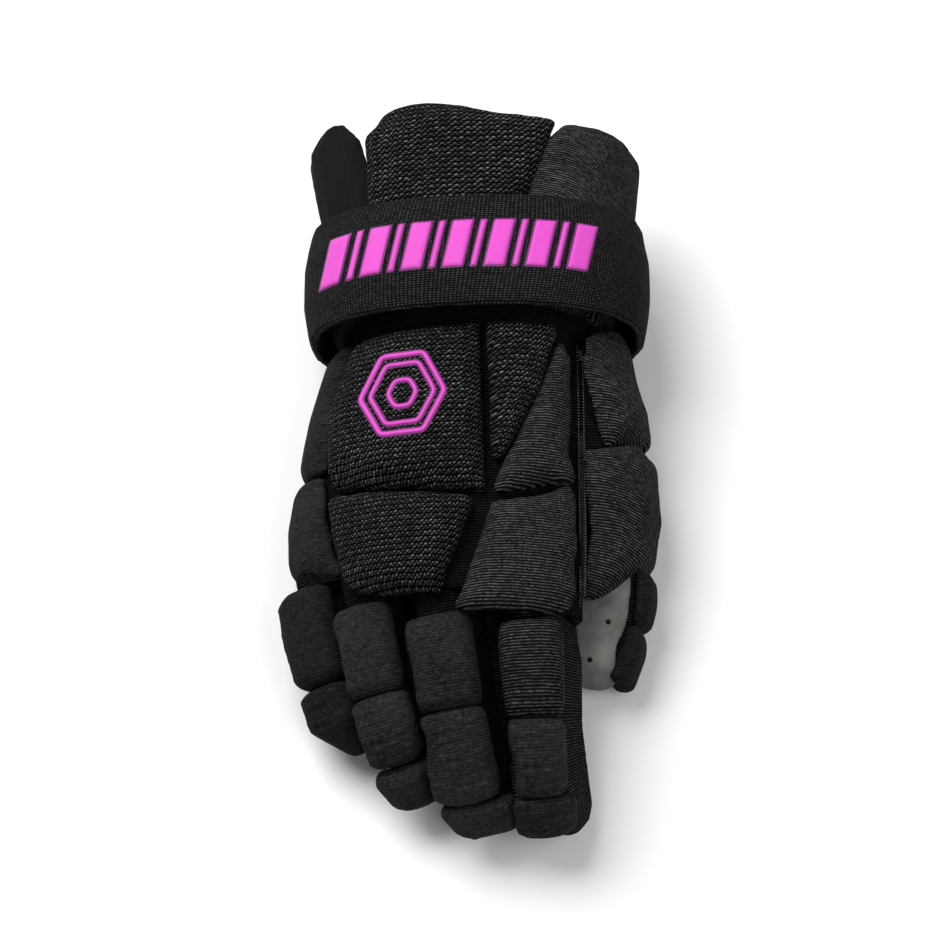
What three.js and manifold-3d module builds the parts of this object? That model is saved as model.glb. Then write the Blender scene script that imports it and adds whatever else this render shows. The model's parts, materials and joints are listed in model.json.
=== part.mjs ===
// Ball hockey glove for a right hand, lying palm down: fingers towards -Y, thumb towards +X.
// Millimetres, +Z up. The origin is under the middle of the glove, on the surface it rests on.

import * as THREE from 'three';
import { mergeVertices } from 'three/addons/utils/BufferGeometryUtils.js';
import Module from 'manifold-3d';

const wasm = await Module();
wasm.setup();

// Clearances and thicknesses

const SEAM = 0.3;
const HAIR = 0.05;
const LINER_WALL = 2;
const BACK_PAD = 11;
const SIDE_PAD = 9;
const EAR_PAD = 12.6;
const THUMB_PAD = 10;
const CUFF_PAD = 10;
const ROLL_TOP = 10;
const ROLL_SIDE = 2.5;
const PIPING = 3.5;
const PATCH = 1.4;
const PAD_SEAT = 1;
const PIPING_CLEAR = 2;
const ROLL_SEAT = 0.8;
const THUMB_SEAT = 1.3;
const THUMB_ROLL_SEAT = 0.5;
const STRAP_THICK = 7.5;
const BINDING = 2.5;
const WEBBING = 2;

// Lengthwise places

const LINER_END = 100;
const HAND_START = -72;
const PALM_HEM = 66;
const PALM_HEM_BREADTH = 15;
const CUFF_END = 157;
const STRAP_FROM = 50;
const STRAP_TO = 105;

// The hand and cuff: one row for each section across the glove.
// x, z: its centre. halfWidth, halfHeight: its size. roll: lean to the little finger in degrees.
// arch: droop of its edges. slant: how far the section runs forward for each step to the thumb.

const HAND = [
  { y: -75, x: -14, z: 46, halfWidth: 63, halfHeight: 16.5, roll: 12, arch: 12, slant: -0.22 },
  { y: -30, x: -12, z: 45, halfWidth: 62, halfHeight: 20, roll: 11, arch: 10, slant: -0.12 },
  { y: 10, x: -7, z: 43, halfWidth: 58, halfHeight: 24, roll: 9, arch: 7, slant: -0.05 },
  { y: 50, x: -1, z: 42, halfWidth: 54, halfHeight: 28, roll: 7, arch: 3, slant: 0 },
  { y: 78, x: 2, z: 42, halfWidth: 54, halfHeight: 31, roll: 5, arch: 1, slant: 0 },
  { y: 104, x: 3, z: 43, halfWidth: 58, halfHeight: 32, roll: 4, arch: 0, slant: 0 },
  { y: 132, x: 1.5, z: 43.5, halfWidth: 65, halfHeight: 33, roll: 3, arch: 0, slant: 0 },
  { y: 160, x: 1, z: 44, halfWidth: 64, halfHeight: 34, roll: 3, arch: 0, slant: 0 },
];

// The thumb: reach is counted forward from the middle of the hand, towards its tip.

const THUMB = [
  { reach: -70, x: 28, z: 42, halfWidth: 22, halfHeight: 17, roll: -60 },
  { reach: -40, x: 40, z: 40, halfWidth: 23, halfHeight: 20, roll: -62 },
  { reach: -10, x: 51, z: 36, halfWidth: 20, halfHeight: 19, roll: -66 },
  { reach: 25, x: 57, z: 30, halfWidth: 18, halfHeight: 17, roll: -70 },
  { reach: 60, x: 57, z: 23, halfWidth: 15.5, halfHeight: 14.5, roll: -74 },
  { reach: 84, x: 56, z: 18, halfWidth: 14.5, halfHeight: 13, roll: -76 },
  { reach: 120, x: 54, z: 12, halfWidth: 13, halfHeight: 11.5, roll: -78 },
];
const THUMB_START = -60;
const THUMB_END = 103;

// The fingers: x, y, z is the middle of the root. bend: how steeply the finger points down at
// each of BEND_AT along its length. splay: degrees to the thumb side. creases: where rolls end.
// pinch: the share that the back of the finger is narrower by on its thumb side.

const BEND_AT = [0, 0.4, 0.72, 1];
const FINGERS = [
  {
    name: 'index', x: 32.5, y: -75, z: 48, roll: 8, splay: 0, length: 97, bend: [2, 10, 26, 54],
    halfWidth: 14.5, halfHeight: 14.5, creases: [13, 53, 82], left: -84, right: 48, start: -2,
    pinch: 0.42,
  },
  {
    name: 'middle', x: -9.5, y: -72, z: 47, roll: 14, splay: 7, length: 100, bend: [2, 10, 26, 54],
    halfWidth: 15, halfHeight: 14.5, creases: [12.5, 52, 87], left: -84, right: 56, start: -2,
    pinch: 0.42,
  },
  {
    name: 'ring', x: -43, y: -62, z: 38.5, roll: 27, splay: 9, length: 93, bend: [2, 8, 20, 44],
    halfWidth: 13, halfHeight: 14, creases: [14.5, 53, 80], left: -84, right: 56, start: -2,
    pinch: 0.36,
  },
  {
    name: 'pinky', x: -66, y: -50, z: 27, roll: 42, splay: 7.5, length: 79, bend: [2, 6, 14, 30],
    halfWidth: 11.4, halfHeight: 12, creases: [13.5, 56], left: -84, right: 58, start: 6,
    pinch: 0.36,
  },
];

// Colours from the photographed glove

const BLACK_KNIT = { color: 0x1c1c1f, roughness: 0.9, metalness: 0 };
const BLACK_MESH = { color: 0x232327, roughness: 0.75, metalness: 0 };
const ELASTIC = { color: 0x202023, roughness: 0.85, metalness: 0 };
const GREY_SUEDE = { color: 0x8f8f93, roughness: 0.95, metalness: 0 };
const PALE_SUEDE = { color: 0xb4b4b6, roughness: 0.9, metalness: 0 };

const RAD = Math.PI / 180;
const HAND_ROUNDNESS = 2.4;
const FINGER_ROUNDNESS = 3.4;
const DOME_FULLNESS = 0.6;
const FINGER_DOME = 13;
const THUMB_DOME = 12;
const PINCH_FROM = -0.6;
const PINCH_FULL = 0.5;

// Reads a named column of a table at any place, on a smooth curve through its rows

function columnAt(rows, key, column, place) {
  let row = 0;
  while (row < rows.length - 2 && place > rows[row + 1][key]) {
    row += 1;
  }
  const slope = (index) => {
    const before = rows[Math.max(index - 1, 0)];
    const after = rows[Math.min(index + 1, rows.length - 1)];
    return (after[column] - before[column]) / (after[key] - before[key]);
  };
  const from = rows[row];
  const to = rows[row + 1];
  const step = to[key] - from[key];
  const t = THREE.MathUtils.clamp((place - from[key]) / step, 0, 1);
  const start = (2 * t - 3) * t * t + 1;
  const startSlope = ((t - 2) * t + 1) * t * step;
  const endSlope = (t - 1) * t * t * step;
  return start * from[column] + (1 - start) * to[column]
    + startSlope * slope(row) + endSlope * slope(row + 1);
}

// Frame vectors of a section that leans by a roll angle

function sideVector(roll, slant) {
  return new THREE.Vector3(Math.cos(roll * RAD), slant, Math.sin(roll * RAD));
}

function backVector(roll) {
  return new THREE.Vector3(-Math.sin(roll * RAD), 0, Math.cos(roll * RAD));
}

// A form is a run of sections: stationAt(place) gives the section's centre, frame and size

const handForm = {
  start: HAND_START,
  end: LINER_END,
  dome: 0,
  roundness: HAND_ROUNDNESS,
  pinch: 0,
  stationAt(y) {
    const at = (column) => columnAt(HAND, 'y', column, y);
    return {
      centre: new THREE.Vector3(at('x'), y, at('z')),
      side: sideVector(at('roll'), at('slant')),
      back: backVector(at('roll')),
      halfWidth: at('halfWidth'),
      halfHeight: at('halfHeight'),
      arch: at('arch'),
    };
  },
};

const thumbForm = {
  start: THUMB_START,
  end: THUMB_END,
  dome: THUMB_DOME,
  roundness: HAND_ROUNDNESS,
  pinch: 0,
  stationAt(reach) {
    const at = (column) => columnAt(THUMB, 'reach', column, reach);
    return {
      centre: new THREE.Vector3(at('x'), -reach, at('z')),
      side: sideVector(at('roll'), 0),
      back: backVector(at('roll')),
      halfWidth: at('halfWidth'),
      halfHeight: at('halfHeight'),
      arch: 0,
    };
  },
};

// A finger's form bends down along its length; its sections stay square to its middle line

function fingerForm(finger) {
  const bendRows = BEND_AT.map((share, index) => ({
    at: share * finger.length,
    bend: finger.bend[index],
  }));
  const splay = finger.splay * RAD;
  const forward = new THREE.Vector3(Math.sin(splay), -Math.cos(splay), 0);
  const across = new THREE.Vector3(Math.cos(splay), Math.sin(splay), 0);
  const up = new THREE.Vector3(0, 0, 1);
  const roll = finger.roll * RAD;
  const side = across.clone().multiplyScalar(Math.cos(roll)).addScaledVector(up, Math.sin(roll));
  const normal = up.clone().multiplyScalar(Math.cos(roll)).addScaledVector(across, -Math.sin(roll));
  const headingAt = (place) => {
    const bend = columnAt(bendRows, 'at', 'bend', place) * RAD;
    return {
      ahead: forward.clone().multiplyScalar(Math.cos(bend)).addScaledVector(normal, -Math.sin(bend)),
      back: normal.clone().multiplyScalar(Math.cos(bend)).addScaledVector(forward, Math.sin(bend)),
    };
  };
  const centreAt = (place) => {
    const centre = new THREE.Vector3(finger.x, finger.y, finger.z);
    const steps = Math.max(1, Math.ceil(place / 2));
    for (let step = 0; step < steps; step += 1) {
      const middle = ((step + 0.5) / steps) * place;
      centre.addScaledVector(headingAt(Math.max(middle, 0)).ahead, place / steps);
    }
    return centre;
  };
  return {
    start: finger.start,
    end: finger.length,
    dome: FINGER_DOME,
    roundness: FINGER_ROUNDNESS,
    pinch: finger.pinch,
    stationAt(place) {
      const narrowing = 1 - 0.1 * THREE.MathUtils.clamp(place / finger.length, 0, 1);
      return {
        centre: centreAt(place),
        side,
        back: headingAt(place).back,
        halfWidth: finger.halfWidth * narrowing,
        halfHeight: finger.halfHeight * narrowing,
        arch: 0,
      };
    },
  };
}

// The point of a form's skin at a turn from the middle of its back, grown outwards

function squared(value, roundness) {
  return Math.sign(value) * Math.abs(value) ** (2 / roundness);
}

function pinchedShare(form, widthShare, heightShare) {
  const raised = THREE.MathUtils.smoothstep(heightShare, PINCH_FROM, PINCH_FULL);
  return widthShare - form.pinch * Math.max(widthShare, 0) * raised;
}

function sectionPoint(form, place, widthShare, heightShare, grow) {
  const shoulder = form.end - form.dome;
  const past = form.dome > 0 ? Math.max(0, (place - shoulder) / form.dome) : 0;
  const bow = past * Math.PI / 2;
  const along = past > 0 ? shoulder + (form.dome + grow) * Math.sin(bow) : place;
  const full = Math.max(Math.cos(bow), 0) ** DOME_FULLNESS;
  const station = form.stationAt(along);
  const across = pinchedShare(form, widthShare, heightShare) * (station.halfWidth + grow) * full;
  const droop = station.arch * (across / station.halfWidth) ** 2;
  const height = heightShare * (station.halfHeight + grow) * full - droop;
  return station.centre.clone()
    .addScaledVector(station.side, across)
    .addScaledVector(station.back, height);
}

function skinPoint(form, place, turn, grow) {
  const widthShare = squared(Math.sin(turn * RAD), form.roundness);
  const heightShare = squared(Math.cos(turn * RAD), form.roundness);
  return sectionPoint(form, place, widthShare, heightShare, grow);
}

// The turn at which a form's skin lies at a given x, seen from above

function turnAtX(form, place, x, grow, palmSide) {
  const turnOf = (swing) => (palmSide ? 180 - swing : swing);
  let low = -90;
  let high = 90;
  for (let step = 0; step < 30; step += 1) {
    const middle = (low + high) / 2;
    if (skinPoint(form, place, turnOf(middle), grow).x < x) {
      low = middle;
    } else {
      high = middle;
    }
  }
  return turnOf((low + high) / 2);
}

// Closed meshes from grids of points

function closedMesh(points, triangles) {
  const geometry = new THREE.BufferGeometry();
  const numbers = points.flatMap((point) => [point.x, point.y, point.z]);
  geometry.setAttribute('position', new THREE.Float32BufferAttribute(numbers, 3));
  geometry.setIndex(triangles);
  const merged = mergeVertices(geometry, 1e-3);
  const kept = [];
  const index = merged.index.array;
  for (let corner = 0; corner < index.length; corner += 3) {
    const [a, b, c] = [index[corner], index[corner + 1], index[corner + 2]];
    if (a !== b && b !== c && c !== a) {
      kept.push(a, b, c);
    }
  }
  merged.setIndex(kept);
  return facingOut(merged);
}

function facingOut(geometry) {
  const position = geometry.attributes.position;
  const index = geometry.index.array;
  const [a, b, c] = [new THREE.Vector3(), new THREE.Vector3(), new THREE.Vector3()];
  let volume = 0;
  for (let corner = 0; corner < index.length; corner += 3) {
    a.fromBufferAttribute(position, index[corner]);
    b.fromBufferAttribute(position, index[corner + 1]);
    c.fromBufferAttribute(position, index[corner + 2]);
    volume += a.dot(b.cross(c));
  }
  if (volume < 0) {
    geometry.setIndex(Array.from(index).reverse());
  }
  return geometry;
}

// Loops of points joined one to the next, with both ends closed

function loft(loops) {
  const count = loops[0].length;
  const points = loops.flat();
  const triangles = [];
  for (let loop = 0; loop < loops.length - 1; loop += 1) {
    for (let step = 0; step < count; step += 1) {
      const near = loop * count + step;
      const next = loop * count + ((step + 1) % count);
      triangles.push(near, next, near + count, next, next + count, near + count);
    }
  }
  const middleOf = (loop) => loop.reduce((sum, point) => sum.add(point), new THREE.Vector3())
    .divideScalar(loop.length);
  const first = points.push(middleOf(loops[0])) - 1;
  const last = points.push(middleOf(loops[loops.length - 1])) - 1;
  const lastLoop = (loops.length - 1) * count;
  for (let step = 0; step < count; step += 1) {
    const next = (step + 1) % count;
    triangles.push(next, step, first);
    triangles.push(lastLoop + step, lastLoop + next, last);
  }
  return closedMesh(points, triangles);
}

// Two like grids of points, an outer and an inner one, closed round their four edges

function slab(outer, inner) {
  const columns = outer[0].length;
  const points = [...outer.flat(), ...inner.flat()];
  const under = outer.length * columns;
  const triangles = [];
  const quad = (a, b, c, d) => triangles.push(a, b, c, a, c, d);
  for (let row = 0; row < outer.length - 1; row += 1) {
    for (let column = 0; column < columns - 1; column += 1) {
      const here = row * columns + column;
      quad(here, here + 1, here + columns + 1, here + columns);
      quad(under + here + columns, under + here + columns + 1, under + here + 1, under + here);
    }
    const left = row * columns;
    const right = left + columns - 1;
    quad(left + columns, under + left + columns, under + left, left);
    quad(right, under + right, under + right + columns, right + columns);
  }
  const lastRow = (outer.length - 1) * columns;
  for (let column = 0; column < columns - 1; column += 1) {
    quad(column, under + column, under + column + 1, column + 1);
    const end = lastRow + column;
    quad(end + 1, under + end + 1, under + end, end);
  }
  return closedMesh(points, triangles);
}

// Joining and cutting

function solidOf(geometry) {
  const vertProperties = new Float32Array(geometry.attributes.position.array);
  const triVerts = new Uint32Array(geometry.index.array);
  return new wasm.Manifold(new wasm.Mesh({ numProp: 3, vertProperties, triVerts }));
}

function joined(solids) {
  return solids.reduce((sum, solid) => sum.add(solid));
}

function geometryOf(solid) {
  const mesh = solid.getMesh();
  const geometry = new THREE.BufferGeometry();
  geometry.setAttribute('position', new THREE.BufferAttribute(mesh.vertProperties, 3));
  geometry.setIndex(new THREE.BufferAttribute(mesh.triVerts, 1));
  return geometry;
}

// The whole body of a form, grown or shrunk

function spread(from, to, steps) {
  return Array.from({ length: steps + 1 }, (_, step) => from + ((to - from) * step) / steps);
}

function bodyOf(form, grow, corners, places) {
  const turns = spread(0, 360, corners).slice(0, corners);
  return solidOf(loft(places.map((place) => turns.map((turn) => skinPoint(form, place, turn, grow)))));
}

const DOME_STEPS = [0, 0.45, 0.8, 1];

function placesOf(form, steps, from) {
  const shoulder = form.end - form.dome;
  const dome = form.dome > 0 ? DOME_STEPS.slice(1).map((share) => shoulder + share * form.dome) : [];
  return [...spread(from, shoulder, steps), ...dome];
}

// A block that follows a form between shares of its width and height

function blockAlong(form, box, places, grow) {
  const shares = spread(box.left, box.right, box.columns);
  const ring = (place) => {
    const station = form.stationAt(place);
    const spare = grow / station.halfWidth;
    const widen = (share) => share * (1 + (2 * spare) / (box.right - box.left));
    const middle = (box.left + box.right) / 2;
    const at = (share, height) => (
      sectionPoint(form, place, middle + widen(share - middle), height, 0)
    );
    const high = box.high + grow / station.halfHeight;
    return [
      ...shares.map((share) => at(share, high)),
      ...shares.slice().reverse().map((share) => at(share, box.low)),
    ];
  };
  return solidOf(loft(places.map(ring)));
}

// Rounded thickness across a pad: the share of its full thickness at each share of its width

const ACROSS = [
  { at: 0, share: 0.5 },
  { at: 0.07, share: 0.9 },
  { at: 0.27, share: 1 },
  { at: 0.5, share: 1 },
  { at: 0.73, share: 1 },
  { at: 0.93, share: 0.9 },
  { at: 1, share: 0.5 },
];
const ALONG = [
  { at: 0, share: 0.5 },
  { at: 0.1, share: 0.9 },
  { at: 0.5, share: 1 },
  { at: 0.9, share: 0.9 },
  { at: 1, share: 0.5 },
];

function evenProfile(steps) {
  const shares = [0.5, 0.9];
  return spread(0, 1, steps).map((at, step) => ({
    at,
    share: shares[Math.min(step, steps - step)] ?? 1,
  }));
}

// A pad on a form: rows give its place along and its edges as turns

function rowAt(rows, share) {
  const place = THREE.MathUtils.lerp(rows[0].place, rows[rows.length - 1].place, share);
  let row = 0;
  while (row < rows.length - 2 && place > rows[row + 1].place) {
    row += 1;
  }
  const t = (place - rows[row].place) / (rows[row + 1].place - rows[row].place);
  const left = THREE.MathUtils.lerp(rows[row].left, rows[row + 1].left, t);
  const right = THREE.MathUtils.lerp(rows[row].right, rows[row + 1].right, t);
  const rise = THREE.MathUtils.lerp(rows[row].rise ?? 0, rows[row + 1].rise ?? 0, t);
  return { place, left, right, rise };
}

function padOn(form, rows, thicknessAt, seat, across = ACROSS, along = ALONG) {
  const grid = (growAt) => along.map((lengthwise) => {
    const row = rowAt(rows, lengthwise.at);
    return across.map((crosswise) => {
      const turn = THREE.MathUtils.lerp(row.left, row.right, crosswise.at);
      const place = row.place + row.rise * crosswise.at;
      return skinPoint(form, place, turn, growAt(turn, lengthwise.share * crosswise.share));
    });
  });
  const outer = grid((turn, share) => seat + thicknessAt(turn) * share);
  const inner = grid(() => seat);
  return solidOf(slab(outer, inner));
}

// Rows whose edges are given as x, seen from above at a pad's outer face. under is a turn
// instead, for an edge out of sight round the side.

function seenRows(form, thickness, rows) {
  return rows.map(({ y, left, right, under, rise }) => ({
    place: y,
    left: left === undefined ? under : turnAtX(form, y, left, thickness, false),
    right: right === undefined ? under : turnAtX(form, y, right, thickness, false),
    rise,
  }));
}

function palmRows(rows) {
  return rows.map(({ y, left, right }) => ({
    place: y,
    left: turnAtX(handForm, y, left, 0, true),
    right: turnAtX(handForm, y, right, 0, true),
  }));
}

// Materials and nodes

const group = new THREE.Group();

function addPiece(name, solid, look) {
  const mesh = new THREE.Mesh(geometryOf(solid), new THREE.MeshStandardMaterial(look));
  mesh.name = name;
  group.add(mesh);
}

// Hollow liner: the outside of hand, thumb and fingers less the room for them

const HAND_CORNERS = 16;
const HAND_LAST_CURVE = 60;
const FINGER_CORNERS = 10;
const THUMB_STEPS = 4;
const FINGER_STEPS = 3;
const PAST_OPENING = 5;
const fingers = FINGERS.map((finger) => ({ ...finger, form: fingerForm(finger) }));

const HAND_PLACES = spread(HAND_START, HAND_LAST_CURVE, 4).slice(1);

function handBody(grow, end) {
  return bodyOf(handForm, grow, HAND_CORNERS, [HAND_START - grow, ...HAND_PLACES, end]);
}

function thumbBody(grow) {
  const places = placesOf(thumbForm, THUMB_STEPS, thumbForm.start);
  return bodyOf(thumbForm, grow, FINGER_CORNERS, places);
}

function fingerBody(finger, grow) {
  const from = finger.form.start - Math.abs(grow);
  return bodyOf(finger.form, grow, FINGER_CORNERS, placesOf(finger.form, FINGER_STEPS, from));
}

// Neighbouring fingers are trimmed on a surface midway between them. trims holds, for each
// finger, the blocks that lie on its neighbours' sides of those surfaces.

const FINGER_GAP = 0.4;
const TRIM_REACH = 50;
const TRIM_FROM = -35;
const TRIM_STEPS = 4;
const TRIM_PAST_TIP = 28;

function centreAtY(form, y) {
  let low = -60;
  let high = 200;
  for (let step = 0; step < 30; step += 1) {
    const middle = (low + high) / 2;
    if (form.stationAt(middle).centre.y > y) {
      low = middle;
    } else {
      high = middle;
    }
  }
  return form.stationAt((low + high) / 2).centre;
}

function trimBlock(finger, neighbour) {
  const ring = (y) => {
    const here = centreAtY(finger.form, y);
    const there = centreAtY(neighbour.form, y);
    const toward = there.clone().sub(here).normalize();
    const up = new THREE.Vector3(-toward.z, 0, toward.x).multiplyScalar(Math.sign(toward.x));
    const share = finger.halfWidth / (finger.halfWidth + neighbour.halfWidth);
    const near = here.clone().lerp(there, share).addScaledVector(toward, -FINGER_GAP / 2);
    const far = near.clone().addScaledVector(toward, TRIM_REACH);
    return [
      near.clone().addScaledVector(up, TRIM_REACH),
      far.clone().addScaledVector(up, TRIM_REACH),
      far.clone().addScaledVector(up, -TRIM_REACH),
      near.clone().addScaledVector(up, -TRIM_REACH),
    ];
  };
  const tipY = ({ form }) => form.stationAt(form.end + TRIM_PAST_TIP).centre.y;
  return solidOf(loft(spread(TRIM_FROM, Math.max(tipY(finger), tipY(neighbour)), TRIM_STEPS).map(ring)));
}

const trims = fingers.map((finger, place) => {
  const neighbours = [fingers[place - 1], fingers[place + 1]].filter(Boolean);
  return joined(neighbours.map((neighbour) => trimBlock(finger, neighbour)));
});

function fingerBodies(grow) {
  return fingers.map((finger, place) => fingerBody(finger, grow).subtract(trims[place]));
}

const outside = joined([handBody(0, LINER_END), thumbBody(0), ...fingerBodies(0)]);
const inside = joined([
  handBody(-LINER_WALL, LINER_END + PAST_OPENING),
  thumbBody(-LINER_WALL),
  ...fingers.map((finger) => fingerBody(finger, -LINER_WALL)),
]);
const liner = outside.subtract(inside);
const clearThumb = thumbBody(SEAM);
const clearHand = handBody(SEAM, LINER_END);
const clearOutside = joined([clearHand, clearThumb, ...fingerBodies(SEAM)]);

// Suede of the palm side and black knit of the back, as blocks that cut the liner

const HAND_PANEL = { left: -0.82, right: 0.85, low: -1.3, high: -0.45, columns: 4 };
const FINGER_PANEL = { left: -0.78, right: 0.78, low: -1.4, high: -0.3, columns: 1 };
const THENAR_PANEL = { left: -0.3, right: 1.4, low: -1.5, high: 0.4, columns: 1 };
const THUMB_PANEL = { left: -1.4, right: 1.4, low: -1.5, high: 0.7, columns: 1 };
const THUMB_PANEL_START = 56;
const THUMB_PANEL_END = THUMB_END + 10;
const pastThumb = { ...thumbForm, dome: 0 };
const TIP_PANEL_SHARE = 0.85;
const HAND_PANEL_START = HAND_START - 4;
const HAND_PANEL_END = PALM_HEM + 8;
const THENAR_PANEL_START = -45;
const PANEL_LAP = 2;

function panels(grow) {
  const tipPlaces = (form, from) => {
    const shoulder = form.end - form.dome;
    return [...spread(from, shoulder, 3), shoulder + TIP_PANEL_SHARE * form.dome];
  };
  const thenarPlaces = spread(THENAR_PANEL_START - grow, THUMB_PANEL_START + PANEL_LAP, 4);
  const thumbPlaces = spread(THUMB_PANEL_START - grow, THUMB_PANEL_END, 3);
  return joined([
    blockAlong(handForm, HAND_PANEL, spread(HAND_PANEL_START, HAND_PANEL_END + grow, 4), grow),
    blockAlong(thumbForm, THENAR_PANEL, thenarPlaces, grow),
    blockAlong(pastThumb, THUMB_PANEL, thumbPlaces, grow),
    ...fingers.map(({ form }) => blockAlong(form, FINGER_PANEL, tipPlaces(form, form.start - 1), grow)),
  ]);
}

const suede = liner.intersect(panels(0));
const knit = liner.subtract(panels(SEAM));

// The thumb's suede starts at a curved seam across the palm

const THENAR_SEAM = [
  { y: 90, x: 10 },
  { y: 57, x: 10 },
  { y: 10, x: 13 },
  { y: -10, x: 17 },
  { y: -25, x: 25 },
  { y: -37, x: 33 },
  { y: -48, x: 42 },
  { y: -56, x: 52 },
];

const THENAR_BLOCK = { right: 110, front: -140, bottom: -20, height: 120 };

function thenarBlock(grow) {
  const { right, front, bottom, height } = THENAR_BLOCK;
  const first = THENAR_SEAM[0];
  const last = THENAR_SEAM[THENAR_SEAM.length - 1];
  const seam = THENAR_SEAM.map(({ y, x }) => new THREE.Vector2(x - grow, y));
  const shape = new THREE.Shape([
    ...seam,
    new THREE.Vector2(last.x - grow, front),
    new THREE.Vector2(right, front),
    new THREE.Vector2(right, first.y),
  ]);
  const block = new THREE.ExtrudeGeometry(shape, { depth: height, bevelEnabled: false });
  block.translate(0, 0, bottom);
  return solidOf(plainMesh(block));
}

function plainMesh(geometry) {
  const whole = geometry.index ? geometry.toNonIndexed() : geometry;
  const position = whole.attributes.position;
  const points = Array.from({ length: position.count }, (_, corner) => (
    new THREE.Vector3().fromBufferAttribute(position, corner)
  ));
  return closedMesh(points, points.map((_, corner) => corner));
}

const thumbSide = thenarBlock(0).add(thumbBody(HAIR));
const thumbSideClear = thenarBlock(SEAM).add(clearThumb);
addPiece('palm_suede', suede.subtract(thumbSideClear), GREY_SUEDE);
addPiece('thumb_suede', suede.intersect(thumbSide), GREY_SUEDE);

const PATCH_ROWS = [
  { y: -58, left: -57, right: 40 },
  { y: -46, left: -58, right: 36 },
  { y: -34, left: -58, right: 28 },
  { y: -20, left: -57, right: 20 },
  { y: -5, left: -54, right: 15 },
  { y: 15, left: -49, right: 12 },
  { y: 40, left: -45, right: 10 },
  { y: 65, left: -42, right: 9 },
];
const PATCH_ACROSS = evenProfile(5);
const PATCH_ALONG = evenProfile(6);
const patch = padOn(handForm, palmRows(PATCH_ROWS), () => PATCH, PAD_SEAT, PATCH_ACROSS, PATCH_ALONG);
addPiece('palm_patch', patch, PALE_SUEDE);

// Sleeves round the backs and sides of the fingers and thumb

const THUMB_ZONE = { left: -1.35, right: 1.35, low: -1.5, high: 1.5, columns: 1 };
const ZONE_PAST_TIP = 25;
const THUMB_SLEEVE_START = 45;

function thumbZone(from) {
  const places = spread(from, THUMB_END + ZONE_PAST_TIP, 4);
  return blockAlong(pastThumb, THUMB_ZONE, places, 0);
}

fingerBodies(HAIR).forEach((body, place) => {
  addPiece(`${fingers[place].name}_sleeve`, knit.intersect(body).subtract(clearHand), BLACK_KNIT);
});
const handKnit = knit.intersect(handBody(HAIR, LINER_END + 1).add(thumbBody(HAIR)));

// Knit gussets that close the gaps between neighbouring fingers

const GUSSET_STEPS = 3;
const GUSSET_THICKNESS = 2;
const GUSSET_BURIED = 0.5;
const GUSSET_SINK = 0.25;
const GUSSET_ROOT = -60;
const GUSSET_SHORT = 10;

function gussetBetween(finger, neighbour) {
  const ring = (y) => {
    const here = centreAtY(finger.form, y);
    const there = centreAtY(neighbour.form, y);
    const toward = there.clone().sub(here).normalize();
    const up = new THREE.Vector3(-toward.z, 0, toward.x).multiplyScalar(Math.sign(toward.x));
    const near = here.addScaledVector(toward, finger.halfWidth * GUSSET_BURIED);
    const far = there.addScaledVector(toward, -neighbour.halfWidth * GUSSET_BURIED);
    const at = (end, height) => end.clone().addScaledVector(up, height);
    const low = -GUSSET_SINK * finger.halfHeight - GUSSET_THICKNESS / 2;
    const high = low + GUSSET_THICKNESS;
    return [at(near, high), at(far, high), at(far, low), at(near, low)];
  };
  const tipY = ({ form }) => form.stationAt(form.end).centre.y;
  const last = Math.max(tipY(finger), tipY(neighbour)) + GUSSET_SHORT;
  const strip = solidOf(loft(spread(GUSSET_ROOT, last, GUSSET_STEPS).map(ring)));
  const bodies = joined([finger, neighbour].map((one) => fingerBody(one, SEAM)));
  const parts = strip.subtract(bodies).subtract(clearHand).decompose();
  return parts.reduce((largest, part) => (part.volume() > largest.volume() ? part : largest));
}

fingers.slice(0, -1).forEach((finger, place) => {
  addPiece(`${finger.name}_gusset`, gussetBetween(finger, fingers[place + 1]), BLACK_KNIT);
});

addPiece('thumb_sleeve', handKnit.intersect(thumbZone(THUMB_SLEEVE_START)), BLACK_KNIT);
addPiece('back_shell', handKnit.subtract(thumbZone(THUMB_SLEEVE_START - SEAM)), BLACK_KNIT);

// Padded rolls along the backs of the fingers

const ROLL_GAP = 0.4;
const BOXINESS = 0.35;

function rollThickness(turn) {
  return ROLL_SIDE + (ROLL_TOP - ROLL_SIDE) * Math.max(0, Math.cos(turn * RAD)) ** BOXINESS;
}

fingers.forEach((finger, place) => {
  const { name, form, creases, left, right } = finger;
  const ends = [...creases, form.end + ROLL_GAP];
  const tip = creases.length - 1;
  for (let roll = 0; roll <= tip; roll += 1) {
    const rows = [
      { place: ends[roll] + ROLL_GAP, left, right },
      { place: ends[roll + 1] - ROLL_GAP, left, right },
    ];
    const blank = padOn(form, rows, rollThickness, ROLL_SEAT).subtract(trims[place]);
    const piece = roll === tip ? blank.subtract(fingerBody(finger, SEAM)) : blank;
    addPiece(`${name}_roll_${roll + 1}`, piece, BLACK_KNIT);
  }
});

// Pads on the back of the hand, edges as seen from above

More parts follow.
